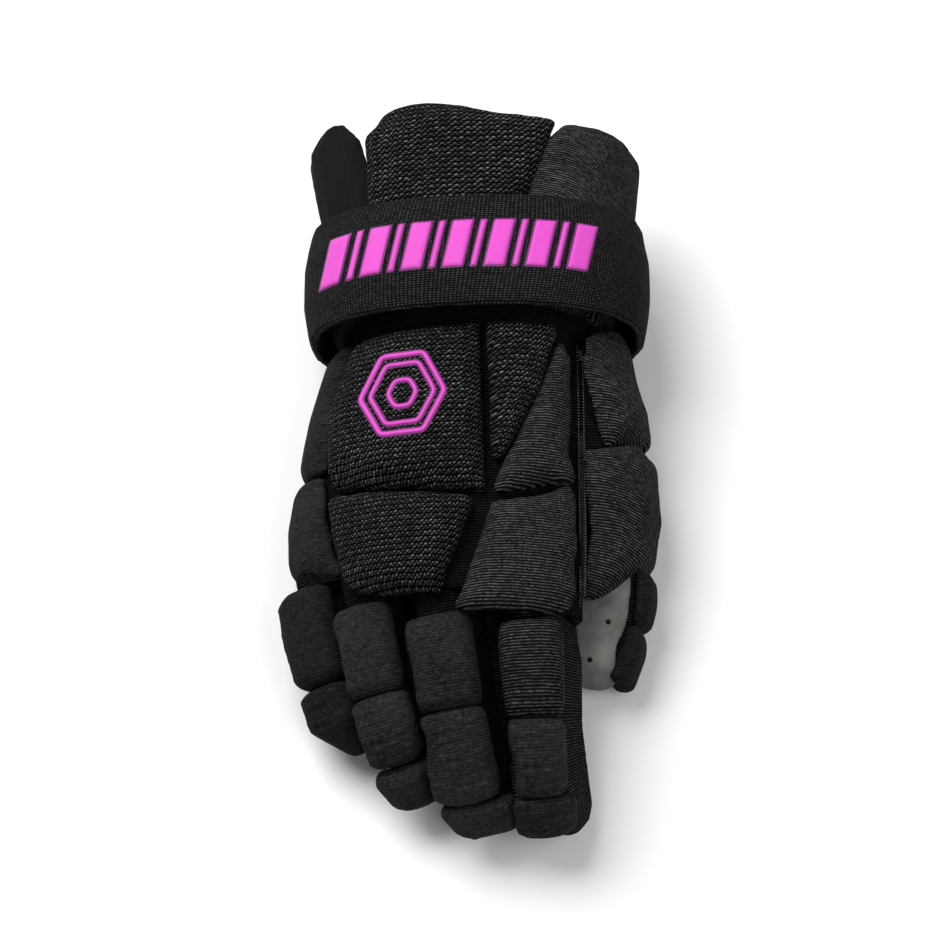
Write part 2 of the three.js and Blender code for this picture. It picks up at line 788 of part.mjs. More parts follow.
const BACK_PADS = [
  {
    name: 'centre_upper_pad', look: BLACK_MESH, thickness: BACK_PAD, rows: [
      { y: -29.5, left: -66, right: 8.5 },
      { y: -10, left: -68, right: 7.5 },
      { y: 18, left: -66, right: 6 },
      { y: 49.5, left: -54, right: 4.5 },
    ],
  },
  {
    name: 'wedge_pad', look: BLACK_MESH, thickness: BACK_PAD, rows: [
      { y: -14, left: 12, right: 15 },
      { y: 4, left: 12, right: 25.5 },
      { y: 19, left: 11, right: 33 },
      { y: 49.5, left: 9, right: 43 },
    ],
  },
  {
    name: 'index_upper_pad', look: BLACK_KNIT, thickness: BACK_PAD, rows: [
      { y: -29.5, left: 12, right: 49, rise: 12 },
      { y: -12, left: 19, right: 50, rise: 10 },
      { y: 4, left: 27, right: 50, rise: 6 },
      { y: 19, left: 34.5, right: 50, rise: 3 },
      { y: 40, left: 43.5, right: 49.5 },
    ],
  },
  {
    name: 'centre_lower_pad', look: BLACK_MESH, thickness: BACK_PAD, wraps: true, rows: [
      { y: -81, left: -57, right: -14 },
      { y: -60, left: -63, right: -8 },
      { y: -44, left: -66, right: -3 },
      { y: -32.5, left: -67, right: 3 },
    ],
  },
  {
    name: 'index_lower_pad', look: BLACK_KNIT, thickness: BACK_PAD, wraps: true, rows: [
      { y: -81, left: -7, right: 50, rise: 6 },
      { y: -72, left: -1, right: 50, rise: 7 },
      { y: -54, left: 5, right: 50, rise: 9 },
      { y: -34, left: 12, right: 50, rise: 11 },
    ],
  },
  {
    name: 'pinky_side_upper_pad', look: BLACK_KNIT, thickness: SIDE_PAD, wraps: true, rows: [
      { y: -17, under: -112, right: -69 },
      { y: 5, under: -110, right: -69 },
      { y: 30, under: -106, right: -64 },
      { y: 47, under: -104, right: -58 },
    ],
  },
  {
    name: 'pinky_side_lower_pad', look: BLACK_KNIT, thickness: SIDE_PAD, wraps: true, rows: [
      { y: -70, under: -110, right: -64 },
      { y: -50, under: -112, right: -68 },
      { y: -20, under: -112, right: -71 },
    ],
  },
  {
    name: 'piping', look: BLACK_KNIT, thickness: PIPING, wraps: true, rows: [
      { y: -80, left: 51, under: 78, rise: 4 },
      { y: 34, left: 51, under: 78 },
    ],
  },
  {
    name: 'cuff_centre_pad', look: BLACK_MESH, thickness: CUFF_PAD, rows: [
      { y: 52, left: -45, right: 33 },
      { y: 105, left: -48, right: 27 },
      { y: 120, left: -51, right: 30 },
      { y: 135, left: -51, right: 37 },
      { y: CUFF_END - 7, left: -50, right: 43, rise: -4 },
      { y: CUFF_END, left: -45, right: 43, rise: -10 },
    ],
  },
  {
    name: 'cuff_pinky_ear', look: BLACK_KNIT, thickness: CUFF_PAD, wraps: true, rows: [
      { y: 52, under: -112, right: -48 },
      { y: 105, under: -116, right: -51 },
      { y: 125, under: -114, right: -55 },
      { y: 142, under: -108, right: -60 },
      { y: 155, under: -90, right: -66 },
    ],
  },
  {
    name: 'cuff_thumb_ear', look: BLACK_KNIT, thickness: EAR_PAD, wraps: true, rows: [
      { y: 52, left: 36, under: 112 },
      { y: 105, left: 30, under: 116 },
      { y: 120, left: 33, under: 114 },
      { y: 135, left: 41, under: 106 },
      { y: 147, left: 53, under: 84 },
    ],
  },
];

for (const { name, look, thickness, rows, wraps } of BACK_PADS) {
  const pad = padOn(handForm, seenRows(handForm, thickness, rows), () => thickness, PAD_SEAT);
  addPiece(name, wraps ? pad.subtract(clearOutside) : pad, look);
}

// Pads and rolls on the thumb; turns count from its outer side, down towards the palm

const THUMB_PADS = [
  {
    name: 'thumb_side_upper_pad', clear: PAD_SEAT + BACK_PAD + SEAM, rows: [
      { place: -45, left: -62, right: 60 },
      { place: 4, left: -72, right: 62 },
    ],
  },
  {
    name: 'thumb_side_lower_pad', clear: PAD_SEAT + PIPING + PIPING_CLEAR, rows: [
      { place: 7, left: -98, right: 64 },
      { place: 30, left: -104, right: 64 },
      { place: 54, left: -92, right: 66 },
    ],
  },
  {
    name: 'thumb_roll_1', seat: THUMB_ROLL_SEAT, rows: [
      { place: 56, left: -27, right: 44 },
      { place: 79, left: -25, right: 44 },
    ],
  },
  {
    name: 'thumb_roll_2', seat: THUMB_ROLL_SEAT, rows: [
      { place: 80.5, left: -25, right: 44 },
      { place: 98, left: -27, right: 44 },
    ],
  },
];

for (const { name, rows, clear, seat = THUMB_SEAT } of THUMB_PADS) {
  const pad = padOn(thumbForm, rows, () => THUMB_PAD, seat);
  addPiece(name, clear ? pad.subtract(handBody(clear, STRAP_FROM)) : pad, BLACK_KNIT);
}

// Ribbed binding round the palm side of the wrist

const BINDING_ENDS = { left: 118, right: 242 };
const BINDING_ROWS = [
  { place: PALM_HEM, ...BINDING_ENDS },
  { place: PALM_HEM + PALM_HEM_BREADTH, ...BINDING_ENDS },
];
const binding = padOn(handForm, BINDING_ROWS, () => BINDING, PAD_SEAT, evenProfile(10), evenProfile(2));
addPiece('wrist_binding', binding, ELASTIC);

// Elastic webbing inside the cuff, from the little finger's ear down to the palm flap

const WEBBING_BREADTH = 23;
const WEBBING_ENDS = { left: 208, right: 262 };
const WEBBING_ROWS = [
  { place: LINER_END + 1, ...WEBBING_ENDS },
  { place: LINER_END + 1 + WEBBING_BREADTH, ...WEBBING_ENDS },
];
const WEBBING_SEAT = -SEAM - WEBBING;
const webbing = padOn(handForm, WEBBING_ROWS, () => WEBBING, WEBBING_SEAT, evenProfile(6), evenProfile(2));
addPiece('cuff_webbing', webbing, ELASTIC);

// Padded flap on the palm side of the cuff, with a flat underside

const FLAP_SHORT = 14;
const FLAP_BACK = CUFF_END - FLAP_SHORT;
const FLAP_FRONT = PALM_HEM + PALM_HEM_BREADTH + SEAM;
const FLAP_MIDDLE = 4;
const FLAP_HALF_WIDTH = 49;
const FLAP_THICK = 10.4;
const FLAP_CORNER = 9;
const FLAP_EDGE = 3;

function flapOutline() {
  const right = FLAP_HALF_WIDTH - FLAP_EDGE;
  const front = FLAP_FRONT + FLAP_EDGE;
  const back = FLAP_BACK - FLAP_EDGE;
  const shape = new THREE.Shape();
  shape.moveTo(-right, front);
  shape.lineTo(right, front);
  shape.lineTo(right, back - FLAP_CORNER);
  shape.quadraticCurveTo(right, back, right - FLAP_CORNER, back);
  shape.lineTo(-right + FLAP_CORNER, back);
  shape.quadraticCurveTo(-right, back, -right, back - FLAP_CORNER);
  shape.closePath();
  return shape;
}

const flap = new THREE.ExtrudeGeometry(flapOutline(), {
  depth: FLAP_THICK - 2 * FLAP_EDGE,
  bevelThickness: FLAP_EDGE,
  bevelSize: FLAP_EDGE,
  bevelSegments: 2,
  curveSegments: 4,
});
flap.translate(FLAP_MIDDLE, 0, FLAP_EDGE);
addPiece('cuff_palm_flap', solidOf(plainMesh(flap)), ELASTIC);

// Wide padded strap round the back of the wrist, standing off the pads under it

const STRAP_SHAPE = { x: 3.5, z: 44, halfWidth: 73, halfHeight: 43.5, roll: 4 };
const strapForm = {
  start: STRAP_FROM,
  end: STRAP_TO,
  dome: 0,
  roundness: HAND_ROUNDNESS,
  pinch: 0,
  stationAt(y) {
    return {
      centre: new THREE.Vector3(STRAP_SHAPE.x, y, STRAP_SHAPE.z),
      side: sideVector(STRAP_SHAPE.roll, 0),
      back: backVector(STRAP_SHAPE.roll),
      halfWidth: STRAP_SHAPE.halfWidth,
      halfHeight: STRAP_SHAPE.halfHeight,
      arch: 0,
    };
  },
};
const STRAP_REACH = 128;
const STRAP_ROWS = [
  { place: STRAP_FROM, left: -STRAP_REACH, right: STRAP_REACH },
  { place: STRAP_TO, left: -STRAP_REACH, right: STRAP_REACH },
];
const strap = padOn(strapForm, STRAP_ROWS, () => STRAP_THICK, 0, evenProfile(18), evenProfile(3));
addPiece('wrist_strap', strap, ELASTIC);

// Webbing tabs that tie the strap's ends to the ends of the binding

const TAB_FROM = 60;
const TAB_TO = 86;
const TAB_TURN = 117;
const TAB_LIFT = 1;
const TAB_IN_FROM_END = 3;
const TAB_CLEAR = 0.6;

function tabBetween(side) {
  const edge = (y) => {
    const inner = skinPoint(handForm, y, side * TAB_TURN, PAD_SEAT + TAB_LIFT);
    const outer = skinPoint(strapForm, y, side * (STRAP_REACH - TAB_IN_FROM_END), -WEBBING - TAB_CLEAR);
    return [inner, outer];
  };
  const grid = (lift) => [TAB_FROM, TAB_TO].map((y) => edge(y).map((point) => (
    point.clone().add(new THREE.Vector3(0, 0, lift))
  )));
  return solidOf(slab(grid(WEBBING), grid(0)));
}

addPiece('strap_tab_pinky', tabBetween(-1), ELASTIC);
addPiece('strap_tab_thumb', tabBetween(1), ELASTIC);

// The origin goes to the middle of the glove, on the surface under it

const bounds = new THREE.Box3().setFromObject(group);
const middle = bounds.getCenter(new THREE.Vector3());
group.position.set(-middle.x, -middle.y, -bounds.min.z);

export default group;
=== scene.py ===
"""Looks of a ball hockey glove for a right hand, palm down. Metres, +Z up, fingers towards -Y, thumb towards +X."""

from __future__ import annotations
import bpy
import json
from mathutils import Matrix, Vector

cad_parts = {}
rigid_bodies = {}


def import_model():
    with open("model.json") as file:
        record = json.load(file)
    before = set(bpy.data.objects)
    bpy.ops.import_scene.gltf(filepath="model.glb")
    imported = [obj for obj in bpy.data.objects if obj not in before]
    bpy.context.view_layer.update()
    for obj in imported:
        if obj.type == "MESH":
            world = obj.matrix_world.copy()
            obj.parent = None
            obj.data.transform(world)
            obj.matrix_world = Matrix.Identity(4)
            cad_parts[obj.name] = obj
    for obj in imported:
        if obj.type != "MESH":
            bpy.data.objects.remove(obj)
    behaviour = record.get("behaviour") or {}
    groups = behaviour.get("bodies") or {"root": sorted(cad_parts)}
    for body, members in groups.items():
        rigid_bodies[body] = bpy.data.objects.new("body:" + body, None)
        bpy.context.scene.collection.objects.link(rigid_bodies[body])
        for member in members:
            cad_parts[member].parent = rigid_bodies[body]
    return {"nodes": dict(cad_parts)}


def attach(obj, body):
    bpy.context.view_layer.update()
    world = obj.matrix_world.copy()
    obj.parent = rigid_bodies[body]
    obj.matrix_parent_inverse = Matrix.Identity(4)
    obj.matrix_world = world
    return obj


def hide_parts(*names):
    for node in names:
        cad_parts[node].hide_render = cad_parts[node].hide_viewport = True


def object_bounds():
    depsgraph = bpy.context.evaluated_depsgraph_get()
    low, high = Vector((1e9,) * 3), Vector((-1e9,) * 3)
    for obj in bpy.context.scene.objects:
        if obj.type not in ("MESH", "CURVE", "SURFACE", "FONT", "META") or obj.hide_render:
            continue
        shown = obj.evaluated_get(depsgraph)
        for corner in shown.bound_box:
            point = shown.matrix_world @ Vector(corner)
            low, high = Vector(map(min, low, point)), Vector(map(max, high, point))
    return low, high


for left_over in list(bpy.data.objects):
    bpy.data.objects.remove(left_over)
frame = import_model()
CAD_BOX = [list(corner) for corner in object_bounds()]

import json
import logging
import math
from dataclasses import dataclass, field
from enum import Enum
from typing import Callable, Sequence

import bmesh
import bpy
import numpy as np
from mathutils import Vector
from mathutils.bvhtree import BVHTree

log = logging.getLogger("glove")

MM = 0.001
TINY = 1e-9
CLOTH_MAP = "cloth"
Array = np.ndarray
Colour = tuple[float, float, float]
Path = Sequence[tuple[float, float]]
Piece = bpy.types.Object
Socket = bpy.types.NodeSocket


def placed(name: str, data: bpy.types.ID) -> Piece:
    """Puts a new object in the scene.

    Args:
        name: its name.
        data: its mesh, light or camera.

    Returns:
        The object.
    """
    thing = bpy.data.objects.new(name, data)
    bpy.context.scene.collection.objects.link(thing)
    return thing


def lengths(vectors: Array) -> Array:
    """The length of each vector."""
    return np.linalg.norm(vectors, axis=-1)


def travelled(points: Array) -> Array:
    """How far along a run of points each one lies."""
    return np.concatenate([[0.0], np.cumsum(lengths(np.diff(points, axis=0)))])


def operator(operation: str, reflected: bool = False) -> Callable[[Number, Number | float], Number]:
    """Writes a method of Number that adds one Math node.

    Args:
        operation: the node's operation.
        reflected: whether the other value comes first.

    Returns:
        The method.
    """

    def method(self: Number, other: Number | float) -> Number:
        """The node's result."""
        values = (other, self) if reflected else (self, other)
        return self.graph.calculate(operation, *values)

    return method


class Number:
    """A number socket that takes part in sums, each of which adds its Math node."""

    def __init__(self, graph: Graph, socket: Socket) -> None:
        """Keeps the graph and the socket."""
        self.graph = graph
        self.socket = socket

    __add__ = __radd__ = operator("ADD")
    __mul__ = __rmul__ = operator("MULTIPLY")
    __sub__ = operator("SUBTRACT")
    __rsub__ = operator("SUBTRACT", reflected=True)
    __truediv__ = operator("DIVIDE")
    __rtruediv__ = operator("DIVIDE", reflected=True)
    __pow__ = operator("POWER")

    def apply(self, operation: str, *others: float, clamp: bool = False) -> Number:
        """This number put through one Math node."""
        return self.graph.calculate(operation, self, *others, clamp=clamp)

    def clamped(self) -> Number:
        """Held between 0 and 1."""
        return self.apply("ADD", 0.0, clamp=True)

    def wave(self) -> Number:
        """A wave between 0 and 1 with one crest for each whole number."""
        return (self * (2 * math.pi)).apply("COSINE") * 0.5 + 0.5

    def floor(self) -> Number:
        """The whole number below."""
        return self.apply("FLOOR")

    def odd(self) -> Number:
        """A half for an odd whole number, or else nothing."""
        return (self * 0.5).apply("FRACT")

    def held(self, low: float, high: float) -> Number:
        """Spread from low to high into 0 to 1, and held there."""
        return ((self - low) / (high - low)).clamped()


Woven = tuple[Number, Number, Number | float]


class Graph:
    """Makes the nodes of one node tree."""

    def __init__(self, tree: bpy.types.NodeTree) -> None:
        """Keeps the tree."""
        self.tree = tree

    def make(self, kind: str, inputs: dict | Sequence = (), **settings: object) -> bpy.types.Node:
        """Adds a node.

        Args:
            kind: the node's type.
            inputs: values or sockets for its inputs, in order or by name.
            settings: its properties, set first.

        Returns:
            The node.
        """
        node = self.tree.nodes.new(kind)
        for name, value in settings.items():
            setattr(node, name, value)
        for key, value in inputs.items() if isinstance(inputs, dict) else enumerate(inputs):
            self.feed(node.inputs[key], value)
        return node

    def feed(self, target: Socket, value: object) -> None:
        """Links or sets one input.

        Args:
            target: the input.
            value: an output, a number or a plain value.
        """
        value = value.socket if isinstance(value, Number) else value
        if isinstance(value, Socket):
            self.tree.links.new(value, target)
        else:
            target.default_value = value

    def out(self, kind: str, inputs: dict | Sequence = (), output: int | str = 0, **settings: object) -> Socket:
        """One output of a new node."""
        return self.make(kind, inputs, **settings).outputs[output]

    def number(self, kind: str, inputs: dict | Sequence = (), output: int | str = 0, **settings: object) -> Number:
        """One output of a new node as a number."""
        return Number(self, self.out(kind, inputs, output, **settings))

    def calculate(self, operation: str, *values: Number | float, clamp: bool = False) -> Number:
        """The result of a new Math node."""
        return self.number("ShaderNodeMath", values, operation=operation, use_clamp=clamp)


class Shader(Graph):
    """The node tree of one finish, on the piece's own cloth map."""

    def __init__(self, name: str) -> None:
        """Makes the material and its main shader.

        Args:
            name: the material's name.
        """
        self.material = bpy.data.materials.new(name)
        self.material.use_nodes = True
        super().__init__(self.material.node_tree)
        self.tree.nodes.clear()
        self.surface = self.make("ShaderNodeBsdfPrincipled")
        self.make("ShaderNodeOutputMaterial", {"Surface": self.surface.outputs[0]})
        self.map = self.out("ShaderNodeUVMap", uv_map=CLOTH_MAP)
        self.place = self.out("ShaderNodeTexCoord", output="Object")
        parts = self.make("ShaderNodeSeparateXYZ", [self.map])
        self.across, self.along = (Number(self, parts.outputs[axis]) for axis in "XY")

    def noise(self, scale: float, detail: float = 2.0, on_map: bool = False, rough: float = 0.5) -> Number:
        """Noise with so many features a metre, on the cloth map or else on the object's own place."""
        inputs = {"Vector": self.map if on_map else self.place, "Scale": scale, "Detail": detail, "Roughness": rough}
        return self.number("ShaderNodeTexNoise", inputs, "Fac")

    def specks(self) -> Number:
        """Fine light and dark specks of yarn, the light ones partly painted glints."""
        return self.noise(1500, 2, True).held(0.25, 0.75)

    def streaks(self, across: Number, row: Number) -> Number:
        """Noise that runs along each numbered row of yarn, different from row to row."""
        place = self.out("ShaderNodeCombineXYZ", [across, row * 3.7])
        return self.number("ShaderNodeTexNoise", {"Vector": place, "Scale": 1.0, "Detail": 1.0}, "Fac")

    def chance(self, column: Number, row: Number) -> Number:
        """A value of its own, from 0 to 1, for each pair of whole numbers."""
        pair = self.out("ShaderNodeCombineXYZ", [column, row])
        return self.number("ShaderNodeTexWhiteNoise", {"Vector": pair}, "Value", noise_dimensions="2D")


@dataclass(frozen=True)
class Finish:
    """A finish that is made once and used on many pieces."""

    name: str
    dark: Colour = (0.0010, 0.0010, 0.0011)
    light: Colour = (0.27, 0.27, 0.273)
    relief: float = 0.3 * MM
    gloss: float = 0.1
    sheen: float = 0.0

    def material(self) -> bpy.types.Material:
        """The finish's material, made on first use."""
        return bpy.data.materials.get(self.name) or self.connected(Shader(self.name))

    def connected(self, shader: Shader) -> bpy.types.Material:
        """Connects the weave to the main shader.

        Args:
            shader: the new node tree.

        Returns:
            The material.
        """
        tone, height, roughness = self.weave(shader)
        ends = {0: tone.clamped(), 6: (*self.dark, 1.0), 7: (*self.light, 1.0)}
        values = {
            "Base Color": shader.out("ShaderNodeMix", ends, 2, data_type="RGBA"),
            "Roughness": roughness,
            "Normal": shader.out("ShaderNodeBump", {"Strength": 1.0, "Distance": self.relief, "Height": height}),
            "Specular IOR Level": self.gloss,
            "Sheen Weight": self.sheen,
        }
        for label, value in values.items():
            shader.feed(shader.surface.inputs[label], value)
        return shader.material

    def weave(self, shader: Shader) -> Woven:
        """The share of the light colour, the height of the relief from 0 to 1, and the roughness."""
        raise NotImplementedError


@dataclass(frozen=True)
class BasketMesh(Finish):
    """Coarse black mesh: rows of small bright knots, each with a row of dimmer ones below it; the knots' brightness is
    painted highlight on glossy yarn.
    """

    # The light colour is the painted highlight on the glossy knots.
    light: Colour = (0.36, 0.36, 0.364)
    relief: float = 0.6 * MM
    gloss: float = 0.045
    pitch: tuple[float, float] = (1.92 * MM, 1.32 * MM)

    def weave(self, shader: Shader) -> Woven:
        """Knots in a zigzag, each with a painted highlight of its own strength.

        Args:
            shader: the finish's node tree.

        Returns:
            Tone, height and roughness.
        """
        row = shader.along / self.pitch[1] + (shader.noise(55, 2, True) - 0.5)
        row_number = (row + 0.5).floor()
        odd_row = row_number.odd()
        column = shader.across / self.pitch[0] + odd_row + (shader.noise(90, 2, True) - 0.5) * 0.8
        column_number = (column + 0.5).floor()
        down = row - row_number + (odd_row - 0.25) * 0.5 + (column_number.odd() - 0.25) * 0.45
        side = column - column_number + down * 0.3
        knot = (1.0 - side * side * 7.0 - down * down * 5.0).clamped()
        luck = shader.chance(column_number, row_number)
        thread = shader.specks()
        faded = shader.noise(30, 2, True).held(0.25, 0.7) * 0.45 + 0.55
        # Painted highlight: each knot is lit up in the tone, varied per knot and by fine glints, in place of gloss.
        tone = knot * (luck * luck * 0.6 + 0.2) * (1.0 - odd_row) * (thread * 0.6 + 0.4) * faded
        return tone, knot * 0.8 + thread * 0.2, 1.0 - knot * 0.4


@dataclass(frozen=True)
class RibKnit(Finish):
    """Black knit with fine ribs across the pad, as warp loops side by side; the light rib crests are partly painted
    highlight.
    """

    gloss: float = 0.02
    pitch: float = 1.27 * MM
    stitch: float = 1.15 * MM
    contrast: float = 1.0
    tilt: float = 0.0

    def weave(self, shader: Shader) -> Woven:
        """Ribs of single stitches, worn in patches.

        Args:
            shader: the finish's node tree.

        Returns:
            Tone, height and roughness.
        """
        waver = shader.noise(90, 3, True) - 0.5
        place = (shader.along + shader.across * self.tilt + waver * (1.1 * MM)) / self.pitch
        row = (place + 0.5).floor()
        rib = place.wave()
        run = shader.across / self.stitch + row * 0.37 + waver * 1.5
        luck = shader.chance(run.floor(), row)
        loop = run.wave()
        dash = shader.streaks(shader.across * 260.0, row).held(0.3, 0.78)
        speck = shader.specks()
        patch = shader.noise(38, 3).held(0.25, 0.8)
        # The rib lines are partly the yarn's own pattern and partly painted highlight on its crests, with glints from
        # the specks.
        line = rib**3.0 * (loop * 0.3 + 0.7) * (luck * 0.75 + 0.25) * (dash * 0.4 + 0.6) * (speck * 0.7 + 0.3)
        tone = (line * (patch * 0.4 + 0.6) + speck * 0.014 + 0.004) * self.contrast
        return tone, rib * 0.6 + loop * rib * 0.2 + speck * 0.2, 0.9 - rib * 0.1


@dataclass(frozen=True)
class BrushedKnit(Finish):
    """Smoother black knit with faint ribs and a soft brushed face."""

    dark: Colour = (0.0034, 0.0034, 0.0037)
    light: Colour = (0.052, 0.052, 0.054)
    relief: float = 0.2 * MM
    gloss: float = 0.05
    pitch: float = 1.2 * MM

    def weave(self, shader: Shader) -> Woven:
        """Broken ribs under a brushed nap.

        Args:
            shader: the finish's node tree.

        Returns:
            Tone, height and roughness.
        """
        waver = shader.noise(80, 2, True) - 0.5
        place = (shader.along + waver * (1.2 * MM)) / self.pitch
        rib = place.wave() * shader.streaks(shader.across * 420.0, (place + 0.5).floor()).held(0.3, 0.75)
        speck = shader.noise(800, 3, True).held(0.2, 0.8)
        cloud = shader.noise(42, 3).held(0.25, 0.78)
        tone = rib * 0.42 + speck * 0.34 + cloud * 0.2 - 0.12
        return tone, rib * 0.4 + speck * 0.6, 0.9 - speck * 0.08


@dataclass(frozen=True)
class WovenElastic(Finish):
    """Black woven elastic: close ribs along the band, crossed by columns of warp threads."""

    light: Colour = (0.072, 0.072, 0.074)
    relief: float = 0.18 * MM
    gloss: float = 0.03
    pitch: float = 1.05 * MM
    column: float = 1.15 * MM

    def weave(self, shader: Shader) -> Woven:
        """A grid of dots where ribs and columns cross.

        Args:
            shader: the finish's node tree.

        Returns:
            Tone, height and roughness.
        """
        waver = shader.noise(40, 2, True) - 0.5
        place = (shader.along + waver * (0.5 * MM)) / self.pitch
        rib = place.wave()
        run = shader.across / self.column + waver
        column = run.wave()
        luck = shader.chance((run + 0.5).floor(), (place + 0.5).floor())
        speck = shader.specks()
        cloud = shader.noise(24, 3).held(0.28, 0.75)
        dot = (rib * column) ** 1.5 * (luck * 0.8 + 0.2)
        tone = dot * 0.8 + rib * 0.1 + speck * 0.08 + cloud * 0.04 - 0.05
        return tone, rib * 0.55 + column * 0.25 + speck * 0.2, 0.88 - rib * 0.08


@dataclass(frozen=True)
class Suede(Finish):
    """Grey microfibre suede with a soft nap, rubbed lighter and darker by the hand."""

    dark: Colour = (0.075, 0.074, 0.069)
    light: Colour = (0.225, 0.222, 0.211)
    sheen: float = 0.06

    def weave(self, shader: Shader) -> Woven:
        """Nap, rubbed places and thin creases.

        Args:
            shader: the finish's node tree.

        Returns:
            Tone, height and roughness.
        """
        nap = shader.noise(2600, 3)
        rub = shader.noise(55, 4, rough=0.6).held(0.28, 0.74)
        broad = shader.noise(16, 2).held(0.3, 0.7)
        crease = 1.0 - ((shader.noise(34, 3, True) - 0.5) * 9.0).apply("ABSOLUTE", clamp=True)
        # The thin creases darken the tone as well as the relief: painted shade in the creases.
        tone = rub * 0.62 + broad * 0.3 + nap * 0.35 - 0.14 - crease * 0.2
        return tone, nap * 0.35 + rub * 0.35 - crease * 0.25, 0.9


@dataclass(frozen=True)
class QuiltedSuede(Finish):
    """Paler suede sewn all over with wavy dotted rows."""

    dark: Colour = (0.15, 0.15, 0.146)
    light: Colour = (0.33, 0.328, 0.32)
    relief: float = 0.5 * MM
    sheen: float = 0.04
    pitch: float = 2.15 * MM
    dot: float = 1.25 * MM
    swing: float = 1.9 * MM
    wavelength: float = 21 * MM

    def weave(self, shader: Shader) -> Woven:
        """Wavy rows of sunk stitches.

        Args:
            shader: the finish's node tree.

        Returns:
            Tone, height and roughness.
        """
        drift = shader.noise(18, 2, True) - 0.5
        swing = ((shader.across / self.wavelength) * (2 * math.pi)).apply("SINE") * self.swing
        row = (shader.along + swing + drift * (9 * MM)) / self.pitch
        dots = (shader.across / self.dot + row.floor() * 0.5).wave()
        hole = row.wave() ** 3.0 * (dots * 0.7 + 0.3)
        nap = shader.noise(2400, 2)
        rub = shader.noise(50, 3).held(0.28, 0.74)
        return rub * 0.45 + nap * 0.35 + 0.25 - hole * 0.85, 0.8 - hole * 0.7 + nap * 0.15, 0.88


@dataclass(frozen=True)
class SatinStitch(Finish):
    """Raised satin embroidery in bright thread, laid in close slanting rows."""

    dark: Colour = (0.46, 0.030, 0.36)
    light: Colour = (0.72, 0.072, 0.55)
    relief: float = 0.12 * MM
    gloss: float = 0.4
    sheen: float = 0.1
    pitch: float = 0.62 * MM

    def weave(self, shader: Shader) -> Woven:
        """Close rows of thread.

        Args:
            shader: the finish's node tree.

        Returns:
            Tone, height and roughness.
        """
        fray = shader.noise(300, 2, True) - 0.5
        row = ((shader.across * 0.35 + shader.along) / self.pitch + fray * 0.8).wave()
        fibre = shader.noise(1800, 2, True)
        return row * 0.45 + fibre * 0.3 + 0.25, row * 0.7 + fibre * 0.3, 0.55


@dataclass(frozen=True)
class Thread(Finish):
    """Sewing thread with a fine twist."""

    dark: Colour = (0.5, 0.5, 0.49)
    light: Colour = (0.82, 0.82, 0.80)
    relief: float = 0.08 * MM
    gloss: float = 0.35

    def weave(self, shader: Shader) -> Woven:
        """Twist with a little soil."""
        twist = shader.noise(3000, 2)
        return twist * 0.6 + shader.noise(60, 2).held(0.3, 0.8) * 0.4, twist, 0.7


@dataclass(frozen=True)
class DarkHole(Finish):
    """The shaded inside of a punched hole."""

    dark: Colour = (0.004, 0.004, 0.004)
    light: Colour = (0.012, 0.012, 0.012)
    relief: float = 0.05 * MM

    def weave(self, shader: Shader) -> Woven:
        """Dark fuzz."""
        fuzz = shader.noise(2500, 2)
        return fuzz, fuzz, 0.95


class Look(Enum):
    """The finishes of the glove."""

    MESH = BasketMesh("coarse_mesh")
    RIB = RibKnit("ribbed_knit")
    SLANT_RIB = RibKnit("slanted_rib_knit", tilt=-0.3)
    EAR_RIB = RibKnit("ear_rib_knit", pitch=1.25 * MM, tilt=-0.58)
    # Painted shade: a dimmer copy of the rib knit, for the first index roll.
    FADED_RIB = RibKnit("faded_rib_knit", contrast=0.8)
    SIDE_RIB = RibKnit("side_rib_knit", contrast=0.5)
    BINDING = RibKnit("binding_knit", pitch=48 * MM, tilt=30.0, contrast=0.8)
    # Partly painted shade: the liner knit is much darker than the rib knit, so the gaps between pads and the walls
    # between fingers look shaded.
    LINER = RibKnit("liner_knit", (0.0012, 0.0012, 0.0014), (0.05, 0.05, 0.052))
    BRUSHED = BrushedKnit("brushed_knit")
    # Painted shade: a darker copy of the brushed knit for the pinky and thumb rolls.
    DIM = BrushedKnit("dim_brushed_knit", (0.0024, 0.0024, 0.0026), (0.033, 0.033, 0.034))
    PIPING = BrushedKnit("piping_knit", (0.0024, 0.0024, 0.0026), (0.05, 0.05, 0.051))
    SMOOTH = BrushedKnit("smooth_knit", (0.0066, 0.0066, 0.0070), (0.0105, 0.0105, 0.0110))
    ELASTIC = WovenElastic("woven_elastic")
    SUEDE = Suede("grey_suede")
    QUILT = QuiltedSuede("quilted_suede")
    SATIN = SatinStitch("satin_embroidery")
    # Painted shade: a dark copy of the satin for the shaded sides of the raised embroidery.
    SATIN_EDGE = SatinStitch("satin_edge", (0.10, 0.003, 0.085), (0.2, 0.006, 0.16))
    WHITE_THREAD = Thread("white_thread")
    BLACK_THREAD = Thread("black_thread", (0.003, 0.003, 0.0033), (0.016, 0.016, 0.017))
    # Painted highlight: thread drawn grey for the small highlights on the piping's black stitches; the index seam uses
    # it too.
    GREY_THREAD = Thread("grey_thread", (0.05, 0.05, 0.051), (0.22, 0.22, 0.222))
    HOLE = DarkHole("vent_hole")


# Centre lines of the hand, thumb and fingers, in millimetres, y counted before the origin is centred

